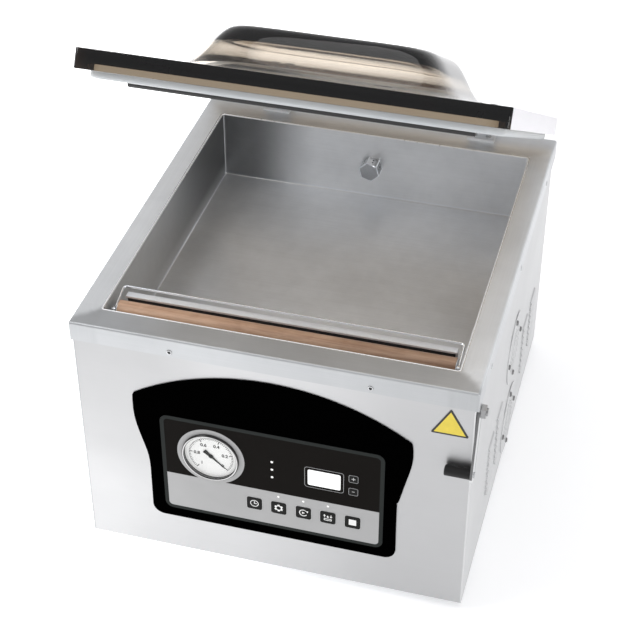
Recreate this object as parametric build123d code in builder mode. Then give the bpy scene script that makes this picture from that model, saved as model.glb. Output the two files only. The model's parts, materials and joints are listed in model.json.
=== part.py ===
from build123d import *
import math
import os

os.makedirs("parts", exist_ok=True)

# ---------------------------------------------------------------- sizes (mm)
# Frame: origin on the bench under the middle of the cabinet, -Y is the operator's
# side, +X the operator's right, +Z up.  The lid stands open.
DECK_W = 420.0          # deck plate, left to right
DECK_D = 472.0          # deck plate, front to back
DECK_TOP = 303.0        # deck surface above the bench
SKIRT_H = 22.0          # height of the deck's folded skirt
DECK_T = 2.0            # deck plate thickness
SHEET = 1.5             # cabinet sheet thickness
FOOT_H = 10.0           # rubber feet
BODY_HX = 207.0         # outer face of the side panels
BODY_HY = 234.0         # outer face of front and rear panels

# vacuum chamber (inner faces)
CH_X = 184.0
CH_Y0, CH_Y1 = -206.0, 188.0
CH_DEPTH = 84.0
CH_T = 2.0
CH_FLOOR = DECK_TOP - CH_DEPTH

# lid
LID_OPEN = 31.4         # degrees above the deck
HINGE_Y, HINGE_Z = 232.0, DECK_TOP + 8.0
HINGE_X = 124.0
LID_HX = 208.0
LID_FRONT = -468.0      # local y of the front edge, measured from the hinge line
LID_REAR = -6.0
LID_T = 20.0
DOME_Y = -244.0
DOME_HX, DOME_HY, DOME_H = 148.0, 152.0, 46.0
GROOVE_D = 6.7
GASKET_DROP = 7.0

# seal bar
SEAL_Y = -181.0
SEAL_TOP = DECK_TOP - 8.0
SEAL_HX = 177.0
ROD_X, ROD_R = 140.0, 5.0
FIT = 0.05              # radial running clearance

# bag clamp
CLAMP_X = 179.2
CLAMP_PIVOT = (-187.3, DECK_TOP - 14.0)     # y, z
CLAMP_REAR = (-158.0, DECK_TOP - 5.0)
CLAMP_WIRE = 1.3

# control panel (x, z on the front face)
INSERT_C = (0.5, 136.0)
INSERT_W, INSERT_H, INSERT_R = 239.0, 131.0, 9.0
GAUGE_C = (-65.0, 155.4)
GAUGE_R = 31.0
KEYS = {"key_timer": -18.7, "key_preset": 7.9, "key_marinate": 34.8, "key_clean": 61.2, "key_stop": 87.8}
KEY_Z, KEY_S = 100.7, 14.8
STEP_KEYS = {"key_plus": (88.0, 162.3), "key_minus": (88.0, 144.6)}
STEP_S = 10.2
DISPLAY_C = (56.9, 153.2)
DISPLAY_W, DISPLAY_H = 35.0, 21.4
LEDS = [(1.2, 164.2, 1.5), (1.2, 153.6, 1.5), (1.2, 143.0, 1.5), (7.6, 116.5, 1.3), (34.6, 116.5, 1.3), (61.1, 116.5, 1.3)]

# right-hand side
LOUVRE_Y = [148.0, 95.0, -69.0, -119.5]     # front end of each column
LOUVRE_L, LOUVRE_PITCH, LOUVRE_Z0, LOUVRE_N = 30.0, 9.0, 63.5, 8
FAN_Y = 22.0
FAN_Z = [158.0, 54.0]
FAN_SCREW_R = 35.4
COVER_R, COVER_T = 42.4, 1.2     # perforated fan covers
LEVER_PIVOT = (-222.0, 271.0)
LEVER_GRIP = (-240.4, 203.0)
SKIRT_SCREW_Z = 287.0
SKIRT_FRONT_X = [-103.0, 103.0]
SKIRT_SIDE_Y = [-172.0, -3.0, 166.0]
FOOT_POS = [(-175.0, -195.0), (175.0, -195.0), (-175.0, 195.0), (175.0, 195.0)]


def front(y):
    return Plane(origin=(0, y, 0), x_dir=(1, 0, 0), z_dir=(0, -1, 0))


def rear(y):
    return Plane(origin=(0, y, 0), x_dir=(-1, 0, 0), z_dir=(0, 1, 0))


def right(x):
    return Plane(origin=(x, 0, 0), x_dir=(0, 1, 0), z_dir=(1, 0, 0))


def left(x):
    return Plane(origin=(x, 0, 0), x_dir=(0, -1, 0), z_dir=(-1, 0, 0))


LS, LC = math.sin(math.radians(LID_OPEN)), math.cos(math.radians(LID_OPEN))
LID = Plane(origin=(0, HINGE_Y, HINGE_Z), x_dir=(1, 0, 0), z_dir=(0, LS, LC))


def save(block, name):
    block.part.label = name
    export_step(block.part, "parts/" + name + ".step")


# ------------------------------------------------------------------- cabinet
with BuildPart() as base_plate:
    with BuildSketch(Plane.XY.offset(FOOT_H)):
        Rectangle(2 * (BODY_HX - SHEET) - 0.2, 2 * (BODY_HY - SHEET) - 0.2)
    extrude(amount=3.6)
    with BuildSketch(Plane.XY.offset(FOOT_H + SHEET)):
        Rectangle(2 * (BODY_HX - 2 * SHEET) - 0.2, 2 * (BODY_HY - 2 * SHEET) - 0.2)
    extrude(amount=12, mode=Mode.SUBTRACT)
    with BuildSketch(Plane.XY.offset(FOOT_H)):
        with Locations(*FOOT_POS):
            Circle(4.2)
        with Locations((-60, 150), (60, 150), (60, -120)):
            with GridLocations(10, 0, 6, 1):
                SlotOverall(60, 4, rotation=90)
    extrude(amount=SHEET, mode=Mode.SUBTRACT)
save(base_plate, "base_plate")

with BuildPart() as rubber_feet:
    with Locations(*[(x, y, 0) for x, y in FOOT_POS]):
        Cone(14.5, 16.0, FOOT_H, align=(Align.CENTER, Align.CENTER, Align.MIN))
    with Locations(*[(x, y, FOOT_H) for x, y in FOOT_POS]):
        Cylinder(4.1, SHEET, align=(Align.CENTER, Align.CENTER, Align.MIN))
    with Locations(*[(x, y, FOOT_H + SHEET) for x, y in FOOT_POS]):
        Cone(6.5, 4.5, 3.0, align=(Align.CENTER, Align.CENTER, Align.MIN))
save(rubber_feet, "rubber_feet")

with BuildPart() as front_panel:
    with BuildSketch(front(-BODY_HY + SHEET)):
        with Locations((0, (FOOT_H + DECK_TOP - DECK_T) / 2)):
            Rectangle(2 * (BODY_HX - SHEET) - 0.1, DECK_TOP - DECK_T - FOOT_H - 0.1)
    extrude(amount=SHEET)
    with BuildSketch(front(-BODY_HY + SHEET)):
        for sx in (-1, 1):
            with Locations((sx * (BODY_HX - 1.5 * SHEET - 0.05), 145)):
                Rectangle(SHEET, 220)
    extrude(amount=-14)
    with BuildSketch(front(-BODY_HY + SHEET)):
        with Locations(GAUGE_C):
            Circle(30.0)
        with Locations((38.5, 129.0)):
            Rectangle(136, 100)
        with Locations(*[(x, SKIRT_SCREW_Z) for x in SKIRT_FRONT_X]):
            Circle(1.7)
    extrude(amount=SHEET, mode=Mode.SUBTRACT)
save(front_panel, "front_panel")


def louvre_rows():
    return [LOUVRE_Z0 + i * LOUVRE_PITCH for i in range(LOUVRE_N)]


# side panels: flat sheet, four columns of pressed louvres
with BuildPart() as right_side_panel:
    with BuildSketch(right(BODY_HX - SHEET)):
        with Locations((0, (FOOT_H + DECK_TOP - DECK_T) / 2)):
            Rectangle(2 * BODY_HY, DECK_TOP - DECK_T - FOOT_H - 0.1)
    extrude(amount=SHEET)
    with BuildSketch(right(BODY_HX - SHEET)):
        for ly in LOUVRE_Y:
            for z in louvre_rows():
                with Locations((ly + LOUVRE_L / 2, z)):
                    Rectangle(LOUVRE_L - 2, 3.4)
        with Locations(*[(FAN_Y, z) for z in FAN_Z]):
            Circle(29.0)
        for z in FAN_Z:
            with Locations((FAN_Y, z)):
                with PolarLocations(FAN_SCREW_R, 4):
                    Circle(1.7)
        with Locations(LEVER_PIVOT):
            Circle(4.1)
        with Locations(*[(y, SKIRT_SCREW_Z) for y in SKIRT_SIDE_Y]):
            Circle(1.7)
    extrude(amount=SHEET, mode=Mode.SUBTRACT)
    for ly in LOUVRE_Y:
        with BuildSketch(front(ly)):
            for z in louvre_rows():
                with BuildLine():
                    Polyline((BODY_HX, z + 3.6), (BODY_HX + 1.5, z + 2.0), (BODY_HX + 2.6, z - 1.7),
                             (BODY_HX + 1.7, z - 1.9), (BODY_HX + 0.7, z + 1.3), (BODY_HX - 0.6, z + 2.6),
                             (BODY_HX - 0.6, z + 3.6), close=True)
                make_face()
        extrude(amount=-LOUVRE_L)
        with BuildSketch(front(ly)):
            for z in louvre_rows():
                with BuildLine():
                    Polyline((BODY_HX - 0.6, z + 3.6), (BODY_HX, z + 3.6), (BODY_HX + 1.5, z + 2.0), (BODY_HX + 2.6, z - 1.7),
                             (BODY_HX, z - 1.9), (BODY_HX - 0.6, z - 1.9), close=True)
                make_face()
        extrude(amount=-1.0)
        with BuildSketch(front(ly + LOUVRE_L)):
            for z in louvre_rows():
                with BuildLine():
                    Polyline((BODY_HX - 0.6, z + 3.6), (BODY_HX, z + 3.6), (BODY_HX + 1.5, z + 2.0), (BODY_HX + 2.6, z - 1.7),
                             (BODY_HX, z - 1.9), (BODY_HX - 0.6, z - 1.9), close=True)
                make_face()
        extrude(amount=1.0)
save(right_side_panel, "right_side_panel")

with BuildPart() as left_side_panel:
    with BuildSketch(left(-BODY_HX + SHEET)):
        with Locations((0, (FOOT_H + DECK_TOP - DECK_T) / 2)):
            Rectangle(2 * BODY_HY, DECK_TOP - DECK_T - FOOT_H - 0.1)
    extrude(amount=SHEET)
    with BuildSketch(left(-BODY_HX + SHEET)):
        for ly in LOUVRE_Y:
            for z in louvre_rows():
                with Locations((-(ly + LOUVRE_L / 2), z)):
                    Rectangle(LOUVRE_L - 2, 3.4)
        with Locations(*[(-y, SKIRT_SCREW_Z) for y in SKIRT_SIDE_Y]):
            Circle(1.7)
    extrude(amount=SHEET, mode=Mode.SUBTRACT)
    for ly in LOUVRE_Y:
        with BuildSketch(front(ly)):
            for z in louvre_rows():
                with BuildLine():
                    Polyline((-BODY_HX, z + 3.6), (-BODY_HX - 1.5, z + 2.0), (-BODY_HX - 2.6, z - 1.7),
                             (-BODY_HX - 1.7, z - 1.9), (-BODY_HX - 0.7, z + 1.3), (-BODY_HX + 0.6, z + 2.6),
                             (-BODY_HX + 0.6, z + 3.6), close=True)
                make_face()
        extrude(amount=-LOUVRE_L)
        for y0, dy in ((ly, -1.0), (ly + LOUVRE_L, 1.0)):
            with BuildSketch(front(y0)):
                for z in louvre_rows():
                    with BuildLine():
                        Polyline((-BODY_HX + 0.6, z + 3.6), (-BODY_HX, z + 3.6), (-BODY_HX - 1.5, z + 2.0), (-BODY_HX - 2.6, z - 1.7),
                                 (-BODY_HX, z - 1.9), (-BODY_HX + 0.6, z - 1.9), close=True)
                    make_face()
            extrude(amount=dy)
save(left_side_panel, "left_side_panel")

INLET_C = (-120.0, 62.0)        # x, z of the mains inlet on the rear panel
with BuildPart() as rear_panel:
    with BuildSketch(rear(BODY_HY - SHEET)):
        with Locations((0, (FOOT_H + DECK_TOP - DECK_T) / 2)):
            Rectangle(2 * (BODY_HX - SHEET) - 0.1, DECK_TOP - DECK_T - FOOT_H - 0.1)
    extrude(amount=SHEET)
    with BuildSketch(rear(BODY_HY - SHEET)):
        with Locations((-INLET_C[0], INLET_C[1])):
            Rectangle(28.4, 48.4)
        with Locations((-70, 190)):
            with GridLocations(0, 10, 1, 9):
                SlotOverall(90, 3.6)
        with Locations(*[(x, SKIRT_SCREW_Z) for x in SKIRT_FRONT_X]):
            Circle(1.7)
        with Locations((-190, 30), (190, 30), (-190, 260), (190, 260), (-190, 145), (190, 145)):
            Circle(1.7)
    extrude(amount=SHEET, mode=Mode.SUBTRACT)
    with BuildSketch(rear(BODY_HY - SHEET)):
        with Locations((-198.0, 145), (198.0, 145)):
            Rectangle(12, 250)
    extrude(amount=-SHEET)
    with BuildSketch(rear(BODY_HY - SHEET)):
        with Locations((-190, 30), (190, 30), (-190, 260), (190, 260), (-190, 145), (190, 145)):
            Circle(1.7)
    extrude(amount=-SHEET * 2, mode=Mode.SUBTRACT)
save(rear_panel, "rear_panel")

CH_CY = (CH_Y0 + CH_Y1) / 2
with BuildPart() as deck_plate:
    with BuildSketch(Plane.XY.offset(DECK_TOP - SKIRT_H)):
        RectangleRounded(DECK_W, DECK_D, 2.2)
    extrude(amount=SKIRT_H)
    fillet(deck_plate.faces().sort_by(Axis.Z)[-1].edges(), radius=2.6)
    with BuildSketch(Plane.XY.offset(DECK_TOP - SKIRT_H)):
        RectangleRounded(DECK_W - 2 * SHEET, DECK_D - 2 * SHEET, 1.2)
    extrude(amount=SKIRT_H - DECK_T, mode=Mode.SUBTRACT)
    with BuildSketch(Plane.XY.offset(DECK_TOP - DECK_T)):
        with Locations((0, CH_CY)):
            RectangleRounded(2 * (CH_X + CH_T), CH_Y1 - CH_Y0 + 2 * CH_T, 4.0)
    extrude(amount=DECK_T, mode=Mode.SUBTRACT)
    with BuildSketch(front(-DECK_D / 2)):
        with Locations(*[(x, SKIRT_SCREW_Z) for x in SKIRT_FRONT_X]):
            Circle(1.7)
    extrude(amount=-DECK_D, mode=Mode.SUBTRACT)
    with BuildSketch(right(DECK_W / 2)):
        with Locations(*[(y, SKIRT_SCREW_Z) for y in SKIRT_SIDE_Y]):
            Circle(1.7)
    extrude(amount=-DECK_W, mode=Mode.SUBTRACT)
    with BuildSketch(Plane.XY.offset(DECK_TOP - DECK_T)):
        for sx in (-1, 1):
            with Locations((sx * HINGE_X - 8, 217), (sx * HINGE_X + 8, 217)):
                Circle(2.1)
    extrude(amount=DECK_T, mode=Mode.SUBTRACT)
save(deck_plate, "deck_plate")

with BuildPart() as vacuum_chamber:
    with BuildSketch(Plane.XY.offset(CH_FLOOR - CH_T)):
        with Locations((0, CH_CY)):
            RectangleRounded(2 * (CH_X + CH_T), CH_Y1 - CH_Y0 + 2 * CH_T, 4.0)
    extrude(amount=CH_DEPTH + CH_T)
    fillet(vacuum_chamber.faces().sort_by(Axis.Z)[0].edges(), radius=3.4)
    with BuildSketch(Plane.XY.offset(CH_FLOOR)):
        with Locations((0, CH_CY)):
            RectangleRounded(2 * CH_X, CH_Y1 - CH_Y0, 2.4)
    extrude(amount=CH_DEPTH, mode=Mode.SUBTRACT)
    fillet(vacuum_chamber.faces().filter_by_position(Axis.Z, CH_FLOOR - 0.01, CH_FLOOR + 0.01).edges(), radius=2.0)
    with BuildSketch(rear(CH_Y1 - 1)):
        with Locations((0, 261.0)):
            Circle(7.0)
    extrude(amount=CH_T + 3, mode=Mode.SUBTRACT)
    with BuildSketch(Plane.XY.offset(CH_FLOOR - CH_T)):
        with Locations((-ROD_X, SEAL_Y), (ROD_X, SEAL_Y)):
            Circle(ROD_R + FIT)
    extrude(amount=CH_T + 1, mode=Mode.SUBTRACT)
save(vacuum_chamber, "vacuum_chamber")

# skirt screws (pan heads) and hinge screws
with BuildPart() as deck_screws:
    for y, s in ((-DECK_D / 2, 1), (DECK_D / 2, -1)):
        with BuildSketch(front(y)):
            with Locations(*[(x, SKIRT_SCREW_Z) for x in SKIRT_FRONT_X]):
                Circle(3.0)
        extrude(amount=s * 0.9)
        with BuildSketch(front(y)):
            with Locations(*[(x, SKIRT_SCREW_Z) for x in SKIRT_FRONT_X]):
                Circle(1.5)
        extrude(amount=-s * 6.0)
    for x, s in ((DECK_W / 2, 1), (-DECK_W / 2, -1)):
        with BuildSketch(right(x)):
            with Locations(*[(y, SKIRT_SCREW_Z) for y in SKIRT_SIDE_Y]):
                Circle(3.0)
        extrude(amount=s * 0.9)
        with BuildSketch(right(x)):
            with Locations(*[(y, SKIRT_SCREW_Z) for y in SKIRT_SIDE_Y]):
                Circle(1.5)
        extrude(amount=-s * 6.0)
    for sx in (-1, 1):
        with Locations((sx * HINGE_X - 8, 217, DECK_TOP + 3.0), (sx * HINGE_X + 8, 217, DECK_TOP + 3.0)):
            Cylinder(3.4, 1.2, align=(Align.CENTER, Align.CENTER, Align.MIN))
            Cylinder(2.0, 12.0, align=(Align.CENTER, Align.CENTER, Align.MAX))
save(deck_screws, "deck_screws")

# ------------------------------------------------------------ chamber fittings
PORT_Z = 261.0
with BuildPart() as vacuum_port:
    with BuildSketch(front(CH_Y1)):
        with Locations((0, PORT_Z)):
            RegularPolygon(11.0, 6, major_radius=False, rotation=14 + 30)
    extrude(amount=14.5)
    with BuildSketch(front(CH_Y1 - 14.5)):
        with Locations((0, PORT_Z)):
            Circle(10.6)
    extrude(amount=0.6)
    with BuildSketch(front(CH_Y1)):
        with Locations((0, PORT_Z)):
            Circle(6.9)
    extrude(amount=-24)
    with BuildSketch(front(CH_Y1 - 10)):
        with Locations((0, PORT_Z)):
            Circle(4.6)
    extrude(amount=-40, mode=Mode.SUBTRACT)
    for k in range(6):
        a = math.radians(14 + 30 + 30 + 60 * k)
        for dy in (-4.6, -9.0):
            with BuildSketch(Plane(origin=(0, CH_Y1 + dy, PORT_Z), x_dir=(0, 1, 0), z_dir=(math.cos(a), 0, math.sin(a)))):
                Circle(1.1)
            extrude(amount=14, mode=Mode.SUBTRACT)
    with BuildSketch(front(CH_Y1 + CH_T)):
        with Locations((0, PORT_Z)):
            RegularPolygon(10.5, 6, major_radius=False)
            Circle(7.0, mode=Mode.SUBTRACT)
    extrude(amount=-6)
save(vacuum_port, "vacuum_port")

with BuildPart() as seal_cylinders:
    for sx in (-1, 1):
        with BuildSketch(Plane.XY.offset(CH_FLOOR - CH_T)):
            with Locations((sx * ROD_X, SEAL_Y)):
                Circle(22.0)
        extrude(amount=-4)
        with BuildSketch(Plane.XY.offset(CH_FLOOR - CH_T - 4)):
            with Locations((sx * ROD_X, SEAL_Y)):
                Circle(18.0)
        extrude(amount=-44)
        with BuildSketch(Plane.XY.offset(CH_FLOOR - CH_T - 24)):
            with Locations((sx * ROD_X + 0, SEAL_Y + 22)):
                Rectangle(8, 12)
        extrude(amount=-8)
        with BuildSketch(Plane.XY.offset(CH_FLOOR - CH_T)):
            with Locations((sx * ROD_X, SEAL_Y)):
                Circle(ROD_R + FIT)
        extrude(amount=-40, mode=Mode.SUBTRACT)
save(seal_cylinders, "seal_cylinders")

RAIL_Z = DECK_TOP - 10.0
with BuildPart() as clamp_rail:
    with BuildSketch(right(0)):
        with BuildLine():
            Polyline((-168.0, RAIL_Z), (-160.0, RAIL_Z), (-160.0, RAIL_Z - 30), (-162.0, RAIL_Z - 30),
                     (-162.0, RAIL_Z - 2), (-168.0, RAIL_Z - 2), close=True)
        make_face()
    extrude(amount=174.0, both=True)
    for sx in (-1, 1):
        with BuildSketch(right(sx * 118.0)):
            with BuildLine():
                Polyline((-160.0, RAIL_Z - 22), (-158.0, RAIL_Z - 22), (-158.0, CH_FLOOR + 2.6), (-146.0, CH_FLOOR + 2.6), (-146.0, CH_FLOOR + 0.05),
                         (-160.0, CH_FLOOR + 0.05), close=True)
            make_face()
        extrude(amount=9.0, both=True)
save(clamp_rail, "clamp_rail")

with BuildPart() as clamp_rail_rubber:
    with BuildSketch(right(0)):
        with Locations((-165.5, RAIL_Z - 4.6)):
            Rectangle(4.6, 5.2)
    extrude(amount=172.0, both=True)
save(clamp_rail_rubber, "clamp_rail_rubber")

# -------------------------------------------------------------------- seal bar
with BuildPart() as seal_bar_base:
    with BuildSketch(right(0)):
        with BuildLine():
            Polyline((SEAL_Y + 9, SEAL_TOP - 10), (SEAL_Y + 9, SEAL_TOP - 27), (SEAL_Y - 9, SEAL_TOP - 27), (SEAL_Y - 9, SEAL_TOP - 10))
            ThreePointArc((SEAL_Y - 9, SEAL_TOP - 10), (SEAL_Y, SEAL_TOP - 1), (SEAL_Y + 9, SEAL_TOP - 10))
        make_face()
    extrude(amount=SEAL_HX, both=True)
    with BuildSketch(right(0)):
        with Locations((SEAL_Y, SEAL_TOP - 1)):
            Rectangle(5.2, 1.6)
    extrude(amount=SEAL_HX, both=True, mode=Mode.SUBTRACT)
    with BuildSketch(Plane.XY.offset(SEAL_TOP - 27)):
        with Locations((-ROD_X, SEAL_Y), (ROD_X, SEAL_Y)):
            Circle(ROD_R)
    extrude(amount=12, mode=Mode.SUBTRACT)
    for sx in (-1, 1):
        with BuildSketch(right(sx * SEAL_HX)):
            with Locations(CLAMP_PIVOT):
                Circle(1.5)
        extrude(amount=-sx * 10, mode=Mode.SUBTRACT)
save(seal_bar_base, "seal_bar_base")

with BuildPart() as sealing_wire:
    with BuildSketch(right(0)):
        with Locations((SEAL_Y, SEAL_TOP - 1.6)):
            Rectangle(4.8, 0.4)
    extrude(amount=SEAL_HX - 2, both=True)
save(sealing_wire, "sealing_wire")

with BuildPart() as seal_bar_cover:
    with BuildSketch(right(0)):
        with BuildLine():
            Polyline((SEAL_Y + 10, SEAL_TOP - 10), (SEAL_Y + 10, SEAL_TOP - 23), (SEAL_Y - 10, SEAL_TOP - 23), (SEAL_Y - 10, SEAL_TOP - 10))
            ThreePointArc((SEAL_Y - 10, SEAL_TOP - 10), (SEAL_Y, SEAL_TOP), (SEAL_Y + 10, SEAL_TOP - 10))
        make_face()
        with BuildLine():
            Polyline((SEAL_Y + 9.02, SEAL_TOP - 10), (SEAL_Y + 9.02, SEAL_TOP - 30), (SEAL_Y - 9.02, SEAL_TOP - 30), (SEAL_Y - 9.02, SEAL_TOP - 10))
            ThreePointArc((SEAL_Y - 9.02, SEAL_TOP - 10), (SEAL_Y, SEAL_TOP - 0.98), (SEAL_Y + 9.02, SEAL_TOP - 10))
        make_face(mode=Mode.SUBTRACT)
    extrude(amount=SEAL_HX - 0.6, both=True)
save(seal_bar_cover, "seal_bar_cover")

# lifting rods under the bar and the two pivot screws of the bag clamp
with BuildPart() as seal_bar_rods:
    for sx in (-1, 1):
        with BuildSketch(Plane.XY.offset(SEAL_TOP - 15.2)):
            with Locations((sx * ROD_X, SEAL_Y)):
                Circle(ROD_R)
        extrude(amount=-(SEAL_TOP - 15.2 - 186))
        with BuildSketch(right(sx * (SEAL_HX - 9))):
            with Locations(CLAMP_PIVOT):
                Circle(1.5)
        extrude(amount=sx * 12.6)
        with BuildSketch(right(sx * (SEAL_HX + 3.6))):
            with Locations(CLAMP_PIVOT):
                Circle(2.6)
        extrude(amount=sx * 1.2)
save(seal_bar_rods, "seal_bar_rods")

# ------------------------------------------------------------------- bag clamp
PY, PZ = CLAMP_PIVOT
RY, RZ = CLAMP_REAR
with BuildPart() as bag_clamp_rod:
    with BuildLine():
        lu = math.hypot(RY - PY, RZ - PZ)
        ey, ez = (RY - PY) / lu, (RZ - PZ) / lu
        bend = 4.0
        a0 = (-CLAMP_X, PY + 2.9 * ey, PZ + 2.9 * ez)
        a1 = (-CLAMP_X, RY - bend * ey, RZ - bend * ez)
        a2 = (-CLAMP_X + bend, RY, RZ)
        b2 = (CLAMP_X - bend, RY, RZ)
        b1 = (CLAMP_X, RY - bend * ey, RZ - bend * ez)
        b0 = (CLAMP_X, PY + 2.9 * ey, PZ + 2.9 * ez)
        q = bend * (1 - math.sqrt(0.5))
        l1 = Line(a0, a1)
        c1 = ThreePointArc(a1, (-CLAMP_X + q, RY - q * ey, RZ - q * ez), a2)
        l2 = Line(a2, b2)
        c2 = ThreePointArc(b2, (CLAMP_X - q, RY - q * ey, RZ - q * ez), b1)
        l3 = Line(b1, b0)
    with BuildSketch(Plane(origin=a0, x_dir=(1, 0, 0), z_dir=(0, ey, ez))):
        Circle(CLAMP_WIRE)
    sweep()
    for sx in (-1, 1):
        with BuildSketch(right(sx * CLAMP_X)):
            with Locations(CLAMP_PIVOT):
                Circle(3.5)
        extrude(amount=1.2, both=True)
        with BuildSketch(right(sx * CLAMP_X)):
            with Locations(CLAMP_PIVOT):
                Circle(1.5 + FIT)
        extrude(amount=3, both=True, mode=Mode.SUBTRACT)
save(bag_clamp_rod, "bag_clamp_rod")

# --------------------------------------------------------------- control panel
F0 = -BODY_HY                       # front panel's face
with BuildPart() as panel_surround:
    with BuildSketch(front(F0)):
        with BuildLine():
            arc = ThreePointArc((-144.5, 224.6), (0, 268.0), (144.5, 224.6))
            s1 = Spline((144.5, 224.6), (147.2, 219.0), (146.4, 190.0), (140.2, 163.0), (134.6, 140.0), (133.4, 120.0),
                        tangents=((1.0, -0.45), (0, -1)))
            l1 = Line((133.4, 120.0), (133.8, 70.5))
            c1 = ThreePointArc((133.8, 70.5), (130.2, 61.6), (121.2, 57.8))
            l2 = Line((121.2, 57.8), (-121.2, 57.8))
            c2 = ThreePointArc((-121.2, 57.8), (-130.2, 61.6), (-133.8, 70.5))
            l3 = Line((-133.8, 70.5), (-133.4, 120.0))
            s2 = Spline((-133.4, 120.0), (-134.6, 140.0), (-140.2, 163.0), (-146.4, 190.0), (-147.2, 219.0), (-144.5, 224.6),
                        tangents=((0, 1), (1.0, 0.45)))
        make_face()
        with Locations(INSERT_C):
            RectangleRounded(INSERT_W + 0.2, INSERT_H + 0.2, INSERT_R + 0.1, mode=Mode.SUBTRACT)
    extrude(amount=1.5)
save(panel_surround, "panel_surround")

with BuildPart() as panel_insert:
    with BuildSketch(front(F0)):
        with Locations(INSERT_C):
            RectangleRounded(INSERT_W, INSERT_H, INSERT_R)
        with Locations(GAUGE_C):
            Circle(29.9, mode=Mode.SUBTRACT)
        with Locations(*[(x, KEY_Z) for x in KEYS.values()]):
            RectangleRounded(KEY_S + 0.7, KEY_S + 0.7, 2.6, mode=Mode.SUBTRACT)
        with Locations(*list(STEP_KEYS.values())):
            RectangleRounded(STEP_S + 0.7, STEP_S + 0.7, 2.2, mode=Mode.SUBTRACT)
        with Locations(DISPLAY_C):
            RectangleRounded(DISPLAY_W, DISPLAY_H, 2.0, mode=Mode.SUBTRACT)
        for x, z, r in LEDS:
            with Locations((x, z)):
                Circle(r, mode=Mode.SUBTRACT)
    extrude(amount=2.0)
save(panel_insert, "panel_insert")

with BuildPart() as display_window:
    with BuildSketch(front(F0)):
        with Locations(DISPLAY_C):
            RectangleRounded(DISPLAY_W, DISPLAY_H, 2.0)
    extrude(amount=2.2)
save(display_window, "display_window")

with BuildPart() as indicator_leds:
    for x, z, r in LEDS:
        with BuildSketch(front(F0 + 4.4)):
            with Locations((x, z)):
                Circle(r)
        extrude(amount=6.7)
save(indicator_leds, "indicator_leds")

for name, x in KEYS.items():
    with BuildPart() as key:
        with BuildSketch(front(F0 + 0.6)):
            with Locations((x, KEY_Z)):
                RectangleRounded(KEY_S, KEY_S, 2.3)
        extrude(amount=3.1)
        fillet(key.faces().sort_by(Axis.Y)[0].edges(), radius=0.35)
        with BuildSketch(front(F0 + 0.6)):
            with Locations((x, KEY_Z)):
                Circle(3.0)
        extrude(amount=-3.6)
    save(key, name)

for name, (x, z) in STEP_KEYS.items():
    with BuildPart() as key:
        with BuildSketch(front(F0 + 0.6)):
            with Locations((x, z)):
                RectangleRounded(STEP_S, STEP_S, 1.9)
        extrude(amount=3.1)
        fillet(key.faces().sort_by(Axis.Y)[0].edges(), radius=0.35)
        with BuildSketch(front(F0 + 0.6)):
            with Locations((x, z)):
                Circle(2.4)
        extrude(amount=-3.6)
    save(key, name)

with BuildPart() as gauge_case:
    with BuildSketch(front(-206)):
        with Locations(GAUGE_C):
            Circle(29.6)
    extrude(amount=30.0)
    with BuildSketch(front(-232)):
        with Locations(GAUGE_C):
            Circle(28.6)
    extrude(amount=4.0, mode=Mode.SUBTRACT)
    with BuildSketch(front(-206)):
        with Locations(GAUGE_C):
            RegularPolygon(7.0, 6, major_radius=False)
    extrude(amount=-8.0)
    with BuildSketch(front(-198)):
        with Locations(GAUGE_C):
            Circle(4.8)
    extrude(amount=-10.0)
    with BuildSketch(front(-232)):
        with Locations(GAUGE_C):
            Circle(1.0 + FIT)
    extrude(amount=-5.0, mode=Mode.SUBTRACT)
save(gauge_case, "gauge_case")

with BuildPart() as gauge_dial:
    with BuildSketch(front(-232)):
        with Locations(GAUGE_C):
            Circle(28.5)
            Circle(1.0 + FIT, mode=Mode.SUBTRACT)
    extrude(amount=0.6)
save(gauge_dial, "gauge_dial")

with BuildPart() as gauge_bezel:
    with BuildSketch(Plane(origin=(GAUGE_C[0], 0, GAUGE_C[1]), x_dir=(1, 0, 0), z_dir=(0, 0, 1))):
        with BuildLine():
            Polyline((28.8, -236.05), (GAUGE_R - 0.4, -236.05), (GAUGE_R, -236.6), (GAUGE_R, -238.6))
            ThreePointArc((GAUGE_R, -238.6), (GAUGE_R - 0.45, -240.1), (GAUGE_R - 1.5, -240.7))
            Polyline((GAUGE_R - 1.5, -240.7), (28.9, -240.5), (28.2, -239.8), (28.2, -238.5), (28.8, -238.5), (28.8, -236.05))
        make_face()
    revolve(axis=Axis((GAUGE_C[0], 0, GAUGE_C[1]), (0, 1, 0)), revolution_arc=360)
save(gauge_bezel, "gauge_bezel")

with BuildPart() as gauge_glass:
    with BuildSketch(front(-236.5)):
        with Locations(GAUGE_C):
            Circle(28.6)
    extrude(amount=1.9)
save(gauge_glass, "gauge_glass")

# pointer, at rest on the zero mark at the lower right
NA = math.radians(-42.0)
with BuildPart() as gauge_needle:
    with BuildSketch(front(-233.6)):
        with Locations(GAUGE_C):
            Circle(2.4)
        with BuildLine():
            ux, uz = math.cos(NA), math.sin(NA)
            px, pz = -uz, ux
            gx, gz = GAUGE_C
            Polyline((gx - 9 * ux + 1.9 * px, gz - 9 * uz + 1.9 * pz), (gx + 2 * ux + 0.7 * px, gz + 2 * uz + 0.7 * pz),
                     (gx + 19.5 * ux + 0.25 * px, gz + 19.5 * uz + 0.25 * pz), (gx + 19.5 * ux - 0.25 * px, gz + 19.5 * uz - 0.25 * pz),
                     (gx + 2 * ux - 0.7 * px, gz + 2 * uz - 0.7 * pz), (gx - 9 * ux - 1.9 * px, gz - 9 * uz - 1.9 * pz), close=True)
        make_face()
    extrude(amount=0.5)
    with BuildSketch(front(-234.1)):
        with Locations(GAUGE_C):
            Circle(1.6)
    extrude(amount=0.8)
    with BuildSketch(front(-233.6)):
        with Locations(GAUGE_C):
            Circle(1.0)
    extrude(amount=-5.6)
save(gauge_needle, "gauge_needle")

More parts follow.
